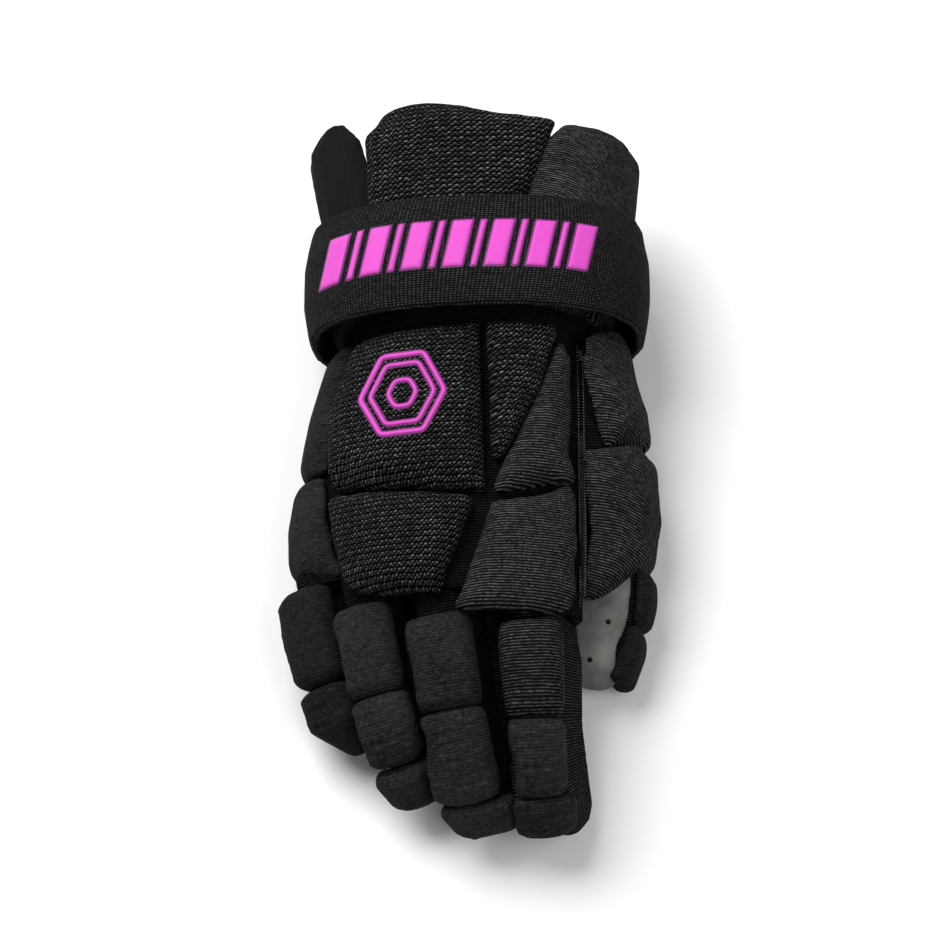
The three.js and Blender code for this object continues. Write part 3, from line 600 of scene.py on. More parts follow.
CENTRING = 12.18
HAND_ROWS = {
    "y": (-75, -30, 10, 50, 104, 160),
    "x": (-14, -12, -7, -1, 3, 1),
    "z": (46, 45, 43, 42, 43, 44),
    "wide": (63, 62, 58, 54, 58, 64),
    "high": (16.5, 20, 24, 28, 32, 34),
    "roll": (12, 11, 9, 7, 4, 3),
}
THUMB_ROWS = {
    "y": (-120, -60, -25, 10, 70),
    "x": (54, 57, 57, 51, 28),
    "z": (12, 23, 30, 36, 42),
    "wide": (13, 15.5, 18, 20, 22),
    "high": (11.5, 14.5, 17, 19, 17),
    "roll": (-78, -74, -70, -66, -60),
}
MARGIN = 30
TIP_MARGIN = 24
BEND_AT = (0.0, 0.4, 0.72, 1.0)
FINGER_ROWS = {
    "index": {"x": 32.5, "y": -75, "z": 48, "roll": 8, "splay": 0, "reach": 97, "bend": (2, 10, 26, 54), "wide": 14.5},
    "middle": {"x": -9.5, "y": -72, "z": 47, "roll": 14, "splay": 7, "reach": 100, "bend": (2, 10, 26, 54), "wide": 15},
    "ring": {"x": -43, "y": -62, "z": 38.5, "roll": 27, "splay": 9, "reach": 93, "bend": (2, 8, 20, 44), "wide": 13.5},
    "pinky": {"x": -66, "y": -50, "z": 27, "roll": 42, "splay": 7.5, "reach": 79, "bend": (2, 6, 14, 30), "wide": 11.7},
}
ROLL_COUNTS = {"index": 3, "middle": 3, "ring": 3, "pinky": 2, "thumb": 2}


@dataclass(frozen=True)
class CentreLine:
    """Stations along the middle of the hand, the thumb or a finger, with its half width and half height."""

    centres: Array
    sides: Array
    backs: Array
    aheads: Array
    places: Array
    wide: float
    high: float
    looseness: float = 1.12
    nearness: float = 0.02
    slope_start: float = 0.3
    round_steps: int = 240

    @classmethod
    def through(cls, rows: dict[str, tuple[float, ...]], step: float = 3.0) -> CentreLine:
        """A straight line of sections square to Y.

        Args:
            rows: the table's rows, from the fingertips' end.
            step: the distance between stations in millimetres.

        Returns:
            The line.
        """
        ys = np.arange(rows["y"][0] - MARGIN, rows["y"][-1] + MARGIN, step)
        read = {key: np.interp(ys, rows["y"], values) for key, values in rows.items()}
        roll = np.radians(read["roll"])
        none = np.zeros_like(ys)
        return cls(
            centres=np.stack([read["x"], ys + CENTRING, read["z"]], 1) * MM,
            sides=np.stack([np.cos(roll), none, np.sin(roll)], 1),
            backs=np.stack([-np.sin(roll), none, np.cos(roll)], 1),
            aheads=np.tile((0.0, -1.0, 0.0), (len(ys), 1)),
            places=-ys * MM,
            wide=float(np.median(read["wide"])) * MM,
            high=float(np.median(read["high"])) * MM,
        )

    @classmethod
    def down(cls, finger: dict[str, object], step: float = 2.0) -> CentreLine:
        """A finger's middle line, which bends down along its length.

        Args:
            finger: its row in the table.
            step: the distance between stations in millimetres.

        Returns:
            The line.
        """
        splay, roll = math.radians(finger["splay"]), math.radians(finger["roll"])
        forward = np.array((math.sin(splay), -math.cos(splay), 0.0))
        across = np.array((math.cos(splay), math.sin(splay), 0.0))
        up = np.array((0.0, 0.0, 1.0))
        normal = up * math.cos(roll) - across * math.sin(roll)
        places = np.arange(-MARGIN, finger["reach"] + TIP_MARGIN, step)
        bends = np.radians(np.interp(places, np.array(BEND_AT) * finger["reach"], finger["bend"]))[:, None]
        aheads = forward * np.cos(bends) - normal * np.sin(bends)
        steps = np.cumsum(aheads * step, 0)
        start = np.array((finger["x"], finger["y"] + CENTRING, finger["z"]))
        return cls(
            centres=(start + steps - steps[np.argmin(np.abs(places))]) * MM,
            sides=np.tile(across * math.cos(roll) + up * math.sin(roll), (len(places), 1)),
            backs=normal * np.cos(bends) + forward * np.sin(bends),
            aheads=aheads,
            places=places * MM,
            wide=finger["wide"] * MM,
            high=finger["wide"] * MM,
        )

    def unwrap(self, points: Array) -> tuple[Array, Array, Array]:
        """Spreads points out flat round the line.

        Args:
            points: places on a skin.

        Returns:
            Distance round the line from the middle of the back, distance along it towards
            the fingertips, and the direction straight out from it.
        """
        offsets = points[:, None, :] - self.centres[None]
        ahead = np.einsum("psc,sc->ps", offsets, self.aheads)
        best = np.argmin(np.abs(ahead) + self.nearness * lengths(offsets), 1)
        rows = np.arange(len(points))
        side = np.einsum("pc,pc->p", offsets[rows, best], self.sides[best])
        back = np.einsum("pc,pc->p", offsets[rows, best], self.backs[best])
        turns = np.linspace(-math.pi, math.pi, self.round_steps + 1)
        arcs = travelled(np.stack([np.sin(turns) * self.wide, np.cos(turns) * self.high], 1) * self.looseness)
        turn = np.arctan2(side / self.wide, back / self.high)
        out = self.sides[best] * side[:, None] + self.backs[best] * back[:, None]
        out /= np.maximum(lengths(out), TINY)[:, None]
        return np.interp(turn, turns, arcs - arcs[self.round_steps // 2]), self.places[best] + ahead[rows, best], out

    def sloped(self, points: Array, slope: float) -> Array:
        """Lowers the thumb side of a piece, more and more away from the line.

        Args:
            points: the piece's points.
            slope: the drop in metres at a metre from where it starts, squared.

        Returns:
            The new points.
        """
        across = self.unwrap(points)[0]
        nearest = np.argmin(lengths(points[:, None] - self.centres[None]), 1)
        drop = slope * np.clip(across + self.slope_start * self.wide, 0.0, self.wide) ** 2
        return points - self.backs[nearest] * drop[:, None]

    def round_trip(self) -> float:
        """The distance once round the line."""
        return 2 * math.pi * math.sqrt((self.wide**2 + self.high**2) / 2) * self.looseness


LINES = {
    "hand": CentreLine.through(HAND_ROWS),
    "thumb": CentreLine.through(THUMB_ROWS),
    **{name: CentreLine.down(row) for name, row in FINGER_ROWS.items()},
}


class Ripple:
    """Smooth noise in space, the same on every run."""

    FAR_OFF = 1000.0

    def __init__(self, seed: int, size: int = 24) -> None:
        """Fills the lattice with values from -1 to 1."""
        self.size = size
        self.lattice = np.random.default_rng(seed).uniform(-1, 1, (size, size, size))

    def at(self, points: Array, wavelength: float) -> Array:
        """Reads the noise.

        Args:
            points: where to read it, in metres.
            wavelength: the width of its features in metres.

        Returns:
            A value from -1 to 1 for each point.
        """
        place = points / wavelength + self.FAR_OFF
        low = np.floor(place).astype(int)
        share = place - low
        share = share * share * (3 - 2 * share)
        value = np.zeros(len(points))
        for corner in range(8):
            step = np.array([(corner >> bit) & 1 for bit in range(3)])
            weight = np.prod(np.where(step == 1, share, 1 - share), axis=1)
            value += weight * self.lattice[tuple(((low + step) % self.size).T)]
        return value


RIPPLE = Ripple(seed=7)


class Skin:
    """The mesh of a piece while it is being shaped."""

    MERGED = 0.01 * MM
    INWARD = 0.5

    def __init__(self, mesh: bpy.types.Mesh) -> None:
        """Keeps the mesh."""
        self.mesh = mesh

    @classmethod
    def of(cls, node: str) -> Skin:
        """Copies a CAD node's mesh and merges its points.

        Args:
            node: the node's name.

        Returns:
            The skin.
        """
        mesh = frame["nodes"][node].data.copy()
        cloth = bmesh.new()
        cloth.from_mesh(mesh)
        bmesh.ops.remove_doubles(cloth, verts=cloth.verts, dist=cls.MERGED)
        cloth.to_mesh(mesh)
        cloth.free()
        mesh.materials.clear()
        return cls(mesh)

    @classmethod
    def grid(cls, rows: Array, closed: bool = False) -> Skin:
        """Makes a sheet.

        Args:
            rows: an array of rows, points and coordinates.
            closed: whether the last row joins the first.

        Returns:
            The sheet.
        """
        count, width = rows.shape[:2]
        faces = []
        for row in range(count if closed else count - 1):
            for column in range(width - 1):
                here, there = row * width + column, (row + 1) % count * width + column
                faces.append((here, here + 1, there + 1, there))
        mesh = bpy.data.meshes.new("sheet")
        mesh.from_pydata(rows.reshape(-1, 3).tolist(), [], faces)
        mesh.update()
        return cls(mesh)

    def read(self, items: str, key: str, width: int = 1, kind: type = float) -> Array:
        """Reads one attribute of all the mesh's vertices, edges, loops or polygons.

        Args:
            items: the collection's name.
            key: the attribute's name.
            width: how many values each item has.
            kind: the type of the values.

        Returns:
            The values, with a row for each item where it has several.
        """
        collection = getattr(self.mesh, items)
        flat = np.empty(len(collection) * width, dtype=kind)
        collection.foreach_get(key, flat)
        return flat.reshape(-1, width) if width > 1 else flat

    @property
    def points(self) -> Array:
        """The points of the mesh."""
        return self.read("vertices", "co", 3)

    @points.setter
    def points(self, places: Array) -> None:
        """Moves the points of the mesh."""
        self.mesh.vertices.foreach_set("co", places.ravel())
        self.mesh.update()

    @property
    def normals(self) -> Array:
        """The normals at the points."""
        return self.read("vertex_normals", "vector", 3)

    def passed(self, kind: str, inputs: dict[str, object] | None = None, **settings: object) -> Skin:
        """Runs one modifier and keeps what it makes.

        Args:
            kind: the modifier's type.
            inputs: a node group's inputs by identifier.
            settings: its properties.

        Returns:
            The new skin.
        """
        holder = placed("holder", self.mesh)
        modifier = holder.modifiers.new(kind, kind)
        for name, value in settings.items():
            setattr(modifier, name, value)
        for name, value in (inputs or {}).items():
            modifier[name] = value
        made = holder.evaluated_get(bpy.context.evaluated_depsgraph_get())
        mesh = bpy.data.meshes.new_from_object(made)
        bpy.data.objects.remove(holder)
        return Skin(mesh)

    def remeshed(self, voxel: float) -> Skin:
        """An even mesh of small squares over the same shape."""
        return self.passed("REMESH", mode="VOXEL", voxel_size=voxel, adaptivity=0.0)

    def divided(self, levels: int = 1) -> Skin:
        """A smoother mesh with each face cut in four."""
        return self.passed("SUBSURF", levels=levels, render_levels=levels)

    def relax(self, rounds: int, outward: float = -0.52) -> Skin:
        """Smooths the mesh with little loss of size.

        Args:
            rounds: how often.
            outward: the share of the way that each point steps back from its neighbours' middle.

        Returns:
            The same skin.
        """
        points, edges = self.points, self.read("edges", "vertices", 2, np.int32)
        count = np.maximum(np.bincount(edges.ravel(), minlength=len(points)), 1)[:, None]
        ends = np.concatenate([edges[:, 0], edges[:, 1]])
        others = np.concatenate([edges[:, 1], edges[:, 0]])
        for turn in range(rounds * 2):
            sums = [np.bincount(ends, points[others, axis], len(points)) for axis in range(3)]
            points = points + (np.stack(sums, 1) / count - points) * (outward if turn % 2 else self.INWARD)
        self.points = points
        return self

    def push(self, amounts: Array) -> Skin:
        """Moves each point out along its normal."""
        self.points = self.points + self.normals * amounts[:, None]
        return self

    def rest(self, floor: float) -> Skin:
        """Lifts any point that is under the floor."""
        self.points = np.maximum(self.points, (-np.inf, -np.inf, floor))
        return self

    def lay_map(self, line: CentreLine | None = None) -> Skin:
        """Writes the cloth map: distance across and along in metres.

        Args:
            line: the line that it goes round, or else it lies flat.

        Returns:
            The same skin.
        """
        points = self.points
        across, along, _ = line.unwrap(points) if line else (points[:, 0], -points[:, 1], None)
        corners = self.read("loops", "vertex_index", kind=np.int32)
        places = across[corners]
        if line:
            starts = self.read("polygons", "loop_start", kind=np.int32)
            widest = np.repeat(np.maximum.reduceat(places, starts), np.diff(np.append(starts, len(corners))))
            places = places + np.where(places < widest - line.round_trip() / 2, line.round_trip(), 0.0)
        layer = self.mesh.uv_layers.get(CLOTH_MAP) or self.mesh.uv_layers.new(name=CLOTH_MAP)
        layer.data.foreach_set("uv", np.stack([places, along[corners]], 1).ravel())
        return self

    def shown(self, name: str, look: Look, node: str) -> Piece:
        """Makes the finished piece, riding on the glove's body.

        Args:
            name: the piece's name.
            look: its finish.
            node: the CAD node that it stands for; not used.

        Returns:
            The piece.
        """
        self.mesh.name = name
        self.mesh.materials.clear()
        self.mesh.materials.append(look.value.material())
        self.mesh.polygons.foreach_set("use_smooth", np.ones(len(self.mesh.polygons), dtype=bool))
        piece = placed(name, self.mesh)
        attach(piece, "root")
        log.info("%s: %d faces", name, len(self.mesh.polygons))
        return piece


@dataclass
class Bellows:
    """Blows up the padded pieces together, as cloth with air in it."""

    frames: int = 14
    enlarged: float = 12.0
    waiting: list[tuple[Skin, Array, float, float]] = field(default_factory=list)

    def blow(self) -> None:
        """Runs the cloth simulation once for all pieces, and moves their points."""
        scene = bpy.context.scene
        scene.frame_start, scene.frame_end = 1, self.frames
        jobs = []
        for skin, held, pressure, most in self.waiting:
            mesh = skin.mesh.copy()
            start = skin.points * self.enlarged
            mesh.vertices.foreach_set("co", start.ravel())
            mesh.update()
            body = placed("air", mesh)
            body.vertex_groups.new(name="held").add(np.flatnonzero(held).tolist(), 1.0, "REPLACE")
            self.set_cloth(body.modifiers.new("cloth", "CLOTH"), pressure)
            jobs.append((skin, body, start, most))
        for number in range(1, self.frames + 1):
            scene.frame_set(number)
        depsgraph = bpy.context.evaluated_depsgraph_get()
        for skin, body, start, most in jobs:
            move = (Skin(body.evaluated_get(depsgraph).data).points - start) / self.enlarged
            length = lengths(move)[:, None]
            move *= most * np.tanh(length / most) / np.maximum(length, TINY)
            skin.points = skin.points + np.nan_to_num(move)
            bpy.data.objects.remove(body)
        scene.frame_set(1)

    def set_cloth(self, modifier: bpy.types.Modifier, pressure: float) -> None:
        """Sets up the cloth.

        Args:
            modifier: the cloth modifier.
            pressure: the air pressure.
        """
        settings = modifier.settings
        settings.quality = 5
        settings.mass = 0.3
        settings.tension_stiffness = settings.compression_stiffness = 12
        settings.shear_stiffness = 6
        settings.bending_stiffness = 0.6
        settings.use_pressure = True
        settings.uniform_pressure_force = pressure
        settings.vertex_group_mass = "held"
        settings.effector_weights.gravity = 0.0
        modifier.collision_settings.use_collision = False
        modifier.point_cache.frame_start = 1
        modifier.point_cache.frame_end = self.frames


BELLOWS = Bellows()


def distance_to(path: Path, points: Array) -> Array:
    """How far points lie from a path, seen from above.

    Args:
        path: x and y of its corners in millimetres.
        points: the points in metres.

    Returns:
        The distances in metres.
    """
    corners = np.array(path) * MM
    nearest = np.full(len(points), np.inf)
    for start, end in zip(corners, corners[1:]):
        run, reach = end - start, points[:, :2] - start
        share = np.clip((reach @ run) / (run @ run), 0, 1)
        nearest = np.minimum(nearest, lengths(reach - share[:, None] * run))
    return nearest


@dataclass(frozen=True)
class Tug:
    """A soft pull on the part of a piece that lies along a path; sizes in millimetres."""

    path: Path
    move: tuple[float, float, float]
    breadth: float

    def moves(self, points: Array) -> Array:
        """How far each point moves, in metres."""
        share = np.exp(-((distance_to(self.path, points) / (self.breadth * MM)) ** 2))
        return share[:, None] * np.array(self.move) * MM


UNDER_STRAP = Tug(((-48, 62), (50, 62)), (0, 10, -3), 9)
THUMB_SIDE = [Tug(((66, -38), (66, -62)), (8, 0, 0), 10), Tug(((66, -75), (66, -95)), (3, 0, 0), 8)]
TUGS = {
    "cuff_centre_pad": [
        Tug(((-18, 168), (-8, 168)), (0, 2.5, 0.5), 12),
        Tug(((-48, 160), (-46, 170)), (0, -4.5, -1), 9),
        Tug(((-46, 125), (-46, 150)), (-2, 0, 0), 8),
        Tug(((34, 160), (36, 160)), (0, 1.5, 0), 8),
        UNDER_STRAP,
    ],
    "cuff_pinky_ear": [Tug(((-50, 100), (-51, 117), (-55, 137), (-60, 154)), (7, 0, 0.5), 8), UNDER_STRAP],
    "cuff_thumb_ear": [
        Tug(((31, 100), (30, 117), (33, 132), (41, 147), (50, 157)), (-4.5, 0, 0.5), 7),
        Tug(((26, 68), (50, 68)), (0, 9, -4), 11),
        Tug(((28, 50), (66, 50)), (0, 0, -8), 16),
    ],
    "palm_patch": [Tug(((-20, -40), (-14, 80)), (0, 0, -1.3), 200)],
    "centre_upper_pad": [Tug(((-52, 66), (-5, 68)), (0, -3, -2), 8)],
    "wedge_pad": [Tug(((12, 68), (38, 68)), (0, -3, -2), 8)],
    "centre_lower_pad": [Tug(((-16, -58), (-14, -62)), (0, 7, 0), 13)],
    "index_upper_pad": [Tug(((45, -4), (48, -4)), (0, -7, 0), 9), Tug(((48, 50), (48, 0)), (-3, 0, 0), 6)],
    "index_lower_pad": [
        Tug(((45, -16), (48, -16)), (0, 4, 0), 9),
        Tug(((46, -64), (50, -64)), (0, 10, 0), 13),
        Tug(((-2, -66), (2, -66)), (0, -2, 0), 10),
    ],
    "back_shell": [Tug(((-62, -46), (-66, -50)), (-3, -3, 0), 8), Tug(((54, 66), (54, 48)), (6, 0, -5), 11)],
    "pinky_sleeve": [Tug(((-62, -46), (-66, -50)), (-2, 3, 0), 8)],
    "pinky_side_lower_pad": [Tug(((-66, -46), (-62, -48)), (3, -2, 0), 6)],
    "piping": [Tug(((49, 50), (49, -40)), (0, 0, -0.6), 12), Tug(((50, -74), (50, -86)), (-2, 9, -3), 8)],
    "thumb_side_upper_pad": [
        Tug(((52, 38), (55, 14)), (4, 0, -6), 10.5),
        Tug(((50, 56), (54, 56)), (1, 0, -3), 9),
        Tug(((62, 56), (68, 54)), (2, 12, -3), 9),
        Tug(((79, 5), (82, 3)), (-1, 7, 0), 12),
    ],
    "thumb_side_lower_pad": [
        Tug(((50, -47), (62, -47)), (-3, -14, -2), 12),
        Tug(((50, -46), (56, -50)), (-4, -8, 0), 9),
        Tug(((79, 5), (82, 3)), (0, 7, 0), 12),
    ],
    "thumb_sleeve": THUMB_SIDE,
    "thumb_suede": [*THUMB_SIDE, Tug(((60, -97), (64, -97)), (0, -3, 0), 6)],
    "thumb_roll_1": [Tug(((75, -50), (75, -52)), (3, 0, 0), 30), Tug(((69, -36), (69, -64)), (4, 0, 0), 5)],
    "thumb_roll_2": [Tug(((69, -66), (69, -74)), (3, 0, 0), 6), Tug(((66, -90), (66, -96)), (-0.8, 0, 0), 6)],
    "index_sleeve": [
        Tug(((50, -90), (50, -125)), (2.5, 0, 0), 10),
        Tug(((50, -144), (46, -152)), (6, -8, -8), 13),
        Tug(((26, -135), (26, -150)), (-5, -4, -2), 7),
    ],
    "middle_sleeve": [Tug(((16, -135), (18, -150)), (5, -4, -2), 9)],
    "index_gusset": [Tug(((6, -122), (22, -122)), (3, -16, -10), 14)],
    "index_roll_3": [
        Tug(((24, -145), (24, -160)), (-2.5, 0, 0), 7),
        Tug(((25, -166), (45, -166)), (0, 3.5, 0), 10),
        Tug(((46, -140), (46, -160)), (4, 0, 0), 8),
    ],
    "middle_roll_3": [
        Tug(((16, -138), (16, -156)), (5.5, 0, 0), 9),
        Tug(((-10, -166), (12, -166)), (0, 3.5, 0), 10),
    ],
}


@dataclass(frozen=True)
class Groove:
    """A sewn line or crease that is pressed into a piece; sizes in millimetres."""

    path: Path
    depth: float = 0.7
    breadth: float = 1.1
    below: bool = False
    turned: float = 0.1
    fade: float = 0.4

    def depth_at(self, points: Array, normals: Array) -> Array:
        """How far each point is pressed in, in metres, only on the side that the groove is on."""
        shown = np.clip(((-normals[:, 2] if self.below else normals[:, 2]) + self.turned) / self.fade, 0, 1)
        return self.depth * MM * shown * np.exp(-((distance_to(self.path, points) / (self.breadth * MM)) ** 2))


INDEX_SEAM = ((40.6, -76), (40.8, -98.2), (41.1, -114.9), (41.7, -127), (42.6, -139), (44.3, -153.3))
EAR_SEAM = ((-61.3, 166.4), (-58.6, 153.8), (-56.5, 143.3), (-55, 132.9), (-53.1, 118))
SUEDE_CREASES = {
    "palm_suede": [
        ((22, -97), (33, -98.5), (43, -97)),
        ((23, -123), (33, -124.5), (43, -123)),
        ((22, -88), (44, -86)),
        ((-16, -94), (-5, -96), (6, -95)),
        ((-13, -124), (-2, -126.5), (8, -126)),
        ((-17, -82), (6, -84)),
        ((-46, -82), (-37, -85), (-28, -84.5)),
        ((-43, -108), (-34, -111), (-25, -110.5)),
        ((-66, -66), (-60, -68), (-50, -68)),
        ((-63, -90), (-57, -92.5), (-48, -92)),
    ],
    "thumb_suede": [((64.5, -96), (69, -44), (71, -17))],
}


@dataclass
class SewnPiece:
    """A padded or plain sewn piece that takes the place of one CAD node."""

    node: str
    look: Look
    line: str = "hand"
    voxel: float = 1.7 * MM
    smoothing: int = 4
    swell: float = 0.0
    pressure: float = 0.0
    fill: float | None = None
    ripple: float = 0.12 * MM
    ripple_width: float = 9 * MM
    grow: float = 0.0
    floor: float = 0.0
    divisions: int = 1
    soften: int = 0
    slope: float = 0.0
    grown_above: float = -0.6
    sewn_below: float = -0.25
    fine_height: float = 0.45
    fine_width: float = 0.35
    fine_shift: float = 1.0
    grooves: list[Groove] = field(default_factory=list)
    skin: Skin | None = None
    piece: Piece | None = None

    def shape(self) -> None:
        """Makes the even mesh and puts it in line for the bellows."""
        self.skin = Skin.of(self.node).remeshed(self.voxel).relax(self.smoothing).relax(self.soften, outward=0.0)
        if self.slope:
            self.skin.points = LINES[self.line].sloped(self.skin.points, self.slope)
        if self.pressure or self.grow:
            _, _, out = LINES[self.line].unwrap(self.skin.points)
            facing = np.einsum("pc,pc->p", self.skin.normals, out)
            self.skin.push(np.where(facing > self.grown_above, self.grow, 0.0))
        for tug in TUGS.get(self.node, []):
            self.skin.points = self.skin.points + tug.moves(self.skin.points)
        if self.pressure:
            BELLOWS.waiting.append((self.skin, facing < self.sewn_below, self.pressure, self.swell))

    def folds(self) -> Array:
        """Finds how far each point moves out for the cloth's unevenness.

        Returns:
            The distances in metres.
        """
        points = self.skin.points
        wide = RIPPLE.at(points, self.ripple_width)
        fine = RIPPLE.at(points + self.fine_shift, self.ripple_width * self.fine_width)
        pressed = sum(groove.depth_at(points, self.skin.normals) for groove in self.grooves)
        return self.ripple * (wide + self.fine_height * fine) - pressed

    def dress(self) -> None:
        """Adds the fine shape, the cloth map and the finish."""
        if self.divisions:
            self.skin = self.skin.divided(self.divisions)
        self.skin.push(self.folds()).rest(self.floor).lay_map(LINES[self.line])
        self.piece = self.skin.shown(self.node + "_cover", self.look, self.node)
        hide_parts(self.node)


@dataclass
class Assembly:
    """Sewn pieces that belong together."""

    pieces: list[SewnPiece] = field(default_factory=list)

    def shape(self) -> None:
        """Makes the even meshes."""
        for piece in self.pieces:
            piece.shape()

    def dress(self) -> None:
        """Finishes the pieces."""
        for piece in self.pieces:
            piece.dress()


@dataclass
class FingerRolls(Assembly):
    """Boxy padded rolls along the backs of the fingers and the thumb."""

    pressure: float = 3.0
    swell: float = 1.0 * MM
    grow: float = 0.45 * MM
    slope: float = 26.0

    def __post_init__(self) -> None:
        """Lists the rolls."""
        for line, count in ROLL_COUNTS.items():
            # The pinky and thumb rolls take the darker copy of the brushed knit as painted shade.
            look = Look.DIM if line in ("pinky", "thumb") else Look.BRUSHED
            for number in range(1, count + 1):
                roll = SewnPiece(f"{line}_roll_{number}", look, line, voxel=1.5 * MM, smoothing=3, fill=0.85)
                roll.swell, roll.pressure, roll.grow = self.swell, self.pressure, self.grow
                roll.soften = 8 if number == count and line != "thumb" else 2
                roll.slope = 0.0 if line == "thumb" else self.slope
                roll.grooves = [Groove(INDEX_SEAM)] if line == "index" else []
                self.pieces.append(roll)
        # The first index roll takes the dimmer rib knit as painted shade.
        self.pieces[0].look = Look.FADED_RIB


@dataclass
class BackPads(Assembly):
    """Pads over the back of the hand and round both of its sides."""

    pressure: float = 3.0
    swell: float = 1.4 * MM
    grow: float = 0.9 * MM

    def __post_init__(self) -> None:
        """Lists the pads."""
        looks = {
            "centre_upper_pad": Look.MESH,
            "wedge_pad": Look.MESH,
            "index_upper_pad": Look.RIB,
            "centre_lower_pad": Look.MESH,
            "index_lower_pad": Look.RIB,
            "pinky_side_upper_pad": Look.BRUSHED,
            "pinky_side_lower_pad": Look.BRUSHED,
            "thumb_side_upper_pad": Look.SLANT_RIB,
            "thumb_side_lower_pad": Look.SLANT_RIB,
        }
        padded = {"swell": self.swell, "pressure": self.pressure, "fill": 0.8, "grow": self.grow}
        for node, look in looks.items():
            self.pieces.append(SewnPiece(node, look, "thumb" if node.startswith("thumb") else "hand", **padded))
        self.pieces.append(SewnPiece("piping", Look.PIPING, voxel=0.9 * MM, smoothing=2))


@dataclass
class Liner(Assembly):
    """The suede palm and the knit back of the hand, fingers and thumb, hollow inside."""

    def __post_init__(self) -> None:
        """Lists the pieces."""
        knits = {f"{finger}_sleeve": (finger, 1.2) for finger in FINGER_ROWS}
        knits |= {f"{finger}_gusset": (finger, 0.8) for finger in ("index", "middle", "ring")}
        knits |= {"thumb_sleeve": ("thumb", 1.2), "back_shell": ("hand", 1.5)}
        knitted = {"smoothing": 3, "divisions": 0, "ripple": 0.2 * MM, "grow": 0.25 * MM}
        for node, (line, voxel) in knits.items():
            # The knit pieces take the darker liner knit, partly painted shade in the gaps.
            self.pieces.append(SewnPiece(node, Look.LINER, line, voxel=voxel * MM, **knitted))
        self.pieces[0].look = Look.SIDE_RIB
        cut = {"voxel": 1.1 * MM, "smoothing": 5, "divisions": 0, "grow": 0.7 * MM}
        creased = {"ripple": 0.4 * MM, "ripple_width": 14 * MM}
        for node, line in (("palm_suede", "hand"), ("thumb_suede", "thumb")):
            grooves = [Groove(crease, 0.75, 1.3, below=True) for crease in SUEDE_CREASES[node]]
            self.pieces.append(SewnPiece(node, Look.SUEDE, line, **cut, **creased, grooves=grooves))
        self.pieces.append(SewnPiece("palm_patch", Look.QUILT, voxel=0.62 * MM, smoothing=2, divisions=0))


@dataclass
class Cuff(Assembly):
    """The flared cuff, its elastic webbing, palm flap, binding and strap."""

    def __post_init__(self) -> None:
        """Lists the pieces."""
        padded = {"swell": 1.4 * MM, "pressure": 3.0, "fill": 0.75, "grow": 0.9 * MM}
        fine = {"voxel": 1.4 * MM, "smoothing": 9}
        thin = {"smoothing": 2, "divisions": 0}
        self.pieces += [
            SewnPiece("cuff_centre_pad", Look.MESH, **padded),
            SewnPiece("cuff_pinky_ear", Look.SMOOTH, **padded, **fine, grooves=[Groove(EAR_SEAM)]),
            SewnPiece("cuff_thumb_ear", Look.EAR_RIB, **padded, **fine),
            SewnPiece("wrist_strap", Look.ELASTIC, voxel=1.9 * MM, swell=0.9 * MM, pressure=2.0, fill=0.7),
            SewnPiece("cuff_palm_flap", Look.ELASTIC, voxel=1.6 * MM, smoothing=3, fill=0.7, floor=0.8 * MM),
            SewnPiece("wrist_binding", Look.BINDING, voxel=0.9 * MM, smoothing=3, divisions=0),
            SewnPiece("cuff_webbing", Look.ELASTIC, voxel=0.8 * MM, **thin),
            SewnPiece("strap_tab_pinky", Look.ELASTIC, voxel=0.7 * MM, **thin),
            SewnPiece("strap_tab_thumb", Look.ELASTIC, voxel=0.7 * MM, **thin),
        ]


class Surface:
    """Finished pieces that marks and stitches are laid on."""

    ABOVE = 0.3
    BELOW = -0.1

    def __init__(self, *pieces: Piece) -> None:
        """Keeps a search tree for each piece."""
        self.trees = []
        for piece in pieces:
            polygons = [tuple(polygon.vertices) for polygon in piece.data.polygons]
            self.trees.append(BVHTree.FromPolygons(Skin(piece.data).points.tolist(), polygons))

    def land(self, places: Array, below: bool = False) -> tuple[Array, Array]:
        """Drops places onto the pieces.

        Args:
            places: x and y of each place in metres.
            below: whether they rise from below instead.

        Returns:
            The points hit and the normals there, with no number where nothing is hit.
        """
        start, way = (self.BELOW, Vector((0, 0, 1))) if below else (self.ABOVE, Vector((0, 0, -1)))
        hits, normals = np.full((2, len(places), 3), np.nan)
        for row, (x, y) in enumerate(places):
            nearest = math.inf
            for tree in self.trees:
                place, normal, _, distance = tree.ray_cast(Vector((x, y, start)), way)
                if place is not None and distance < nearest:
                    nearest = distance
                    hits[row] = place
                    normals[row] = normal if normal.dot(way) < 0 else -normal
        return hits, normals


def smooth_path(corners: Path, round_corners: bool = True, steps: int = 12) -> Array:
    """Points along a path, a millimetre apart.

    Args:
        corners: x and y in millimetres.
        round_corners: whether the path runs smoothly through its corners.
        steps: how many steps make the curve from corner to corner.

    Returns:
        The points in metres.
    """
    points = np.array(corners, dtype=float)
    if round_corners and len(points) > 2:
        ends = np.vstack([2 * points[0] - points[1], points, 2 * points[-1] - points[-2]])
        share = np.linspace(0, 1, steps, endpoint=False)[:, None]
        runs = []
        for a, b, c, d in zip(ends, ends[1:], ends[2:], ends[3:]):
            square, cube = 2 * a - 5 * b + 4 * c - d, 3 * b - a - 3 * c + d
            runs.append(0.5 * (2 * b + (c - a) * share + square * share**2 + cube * share**3))
        points = np.vstack([*runs, points[-1:]])
    along = travelled(points)
    places = np.arange(0, along[-1] + 0.5)
    return np.stack([np.interp(places, along, points[:, axis]) for axis in (0, 1)], 1) * MM


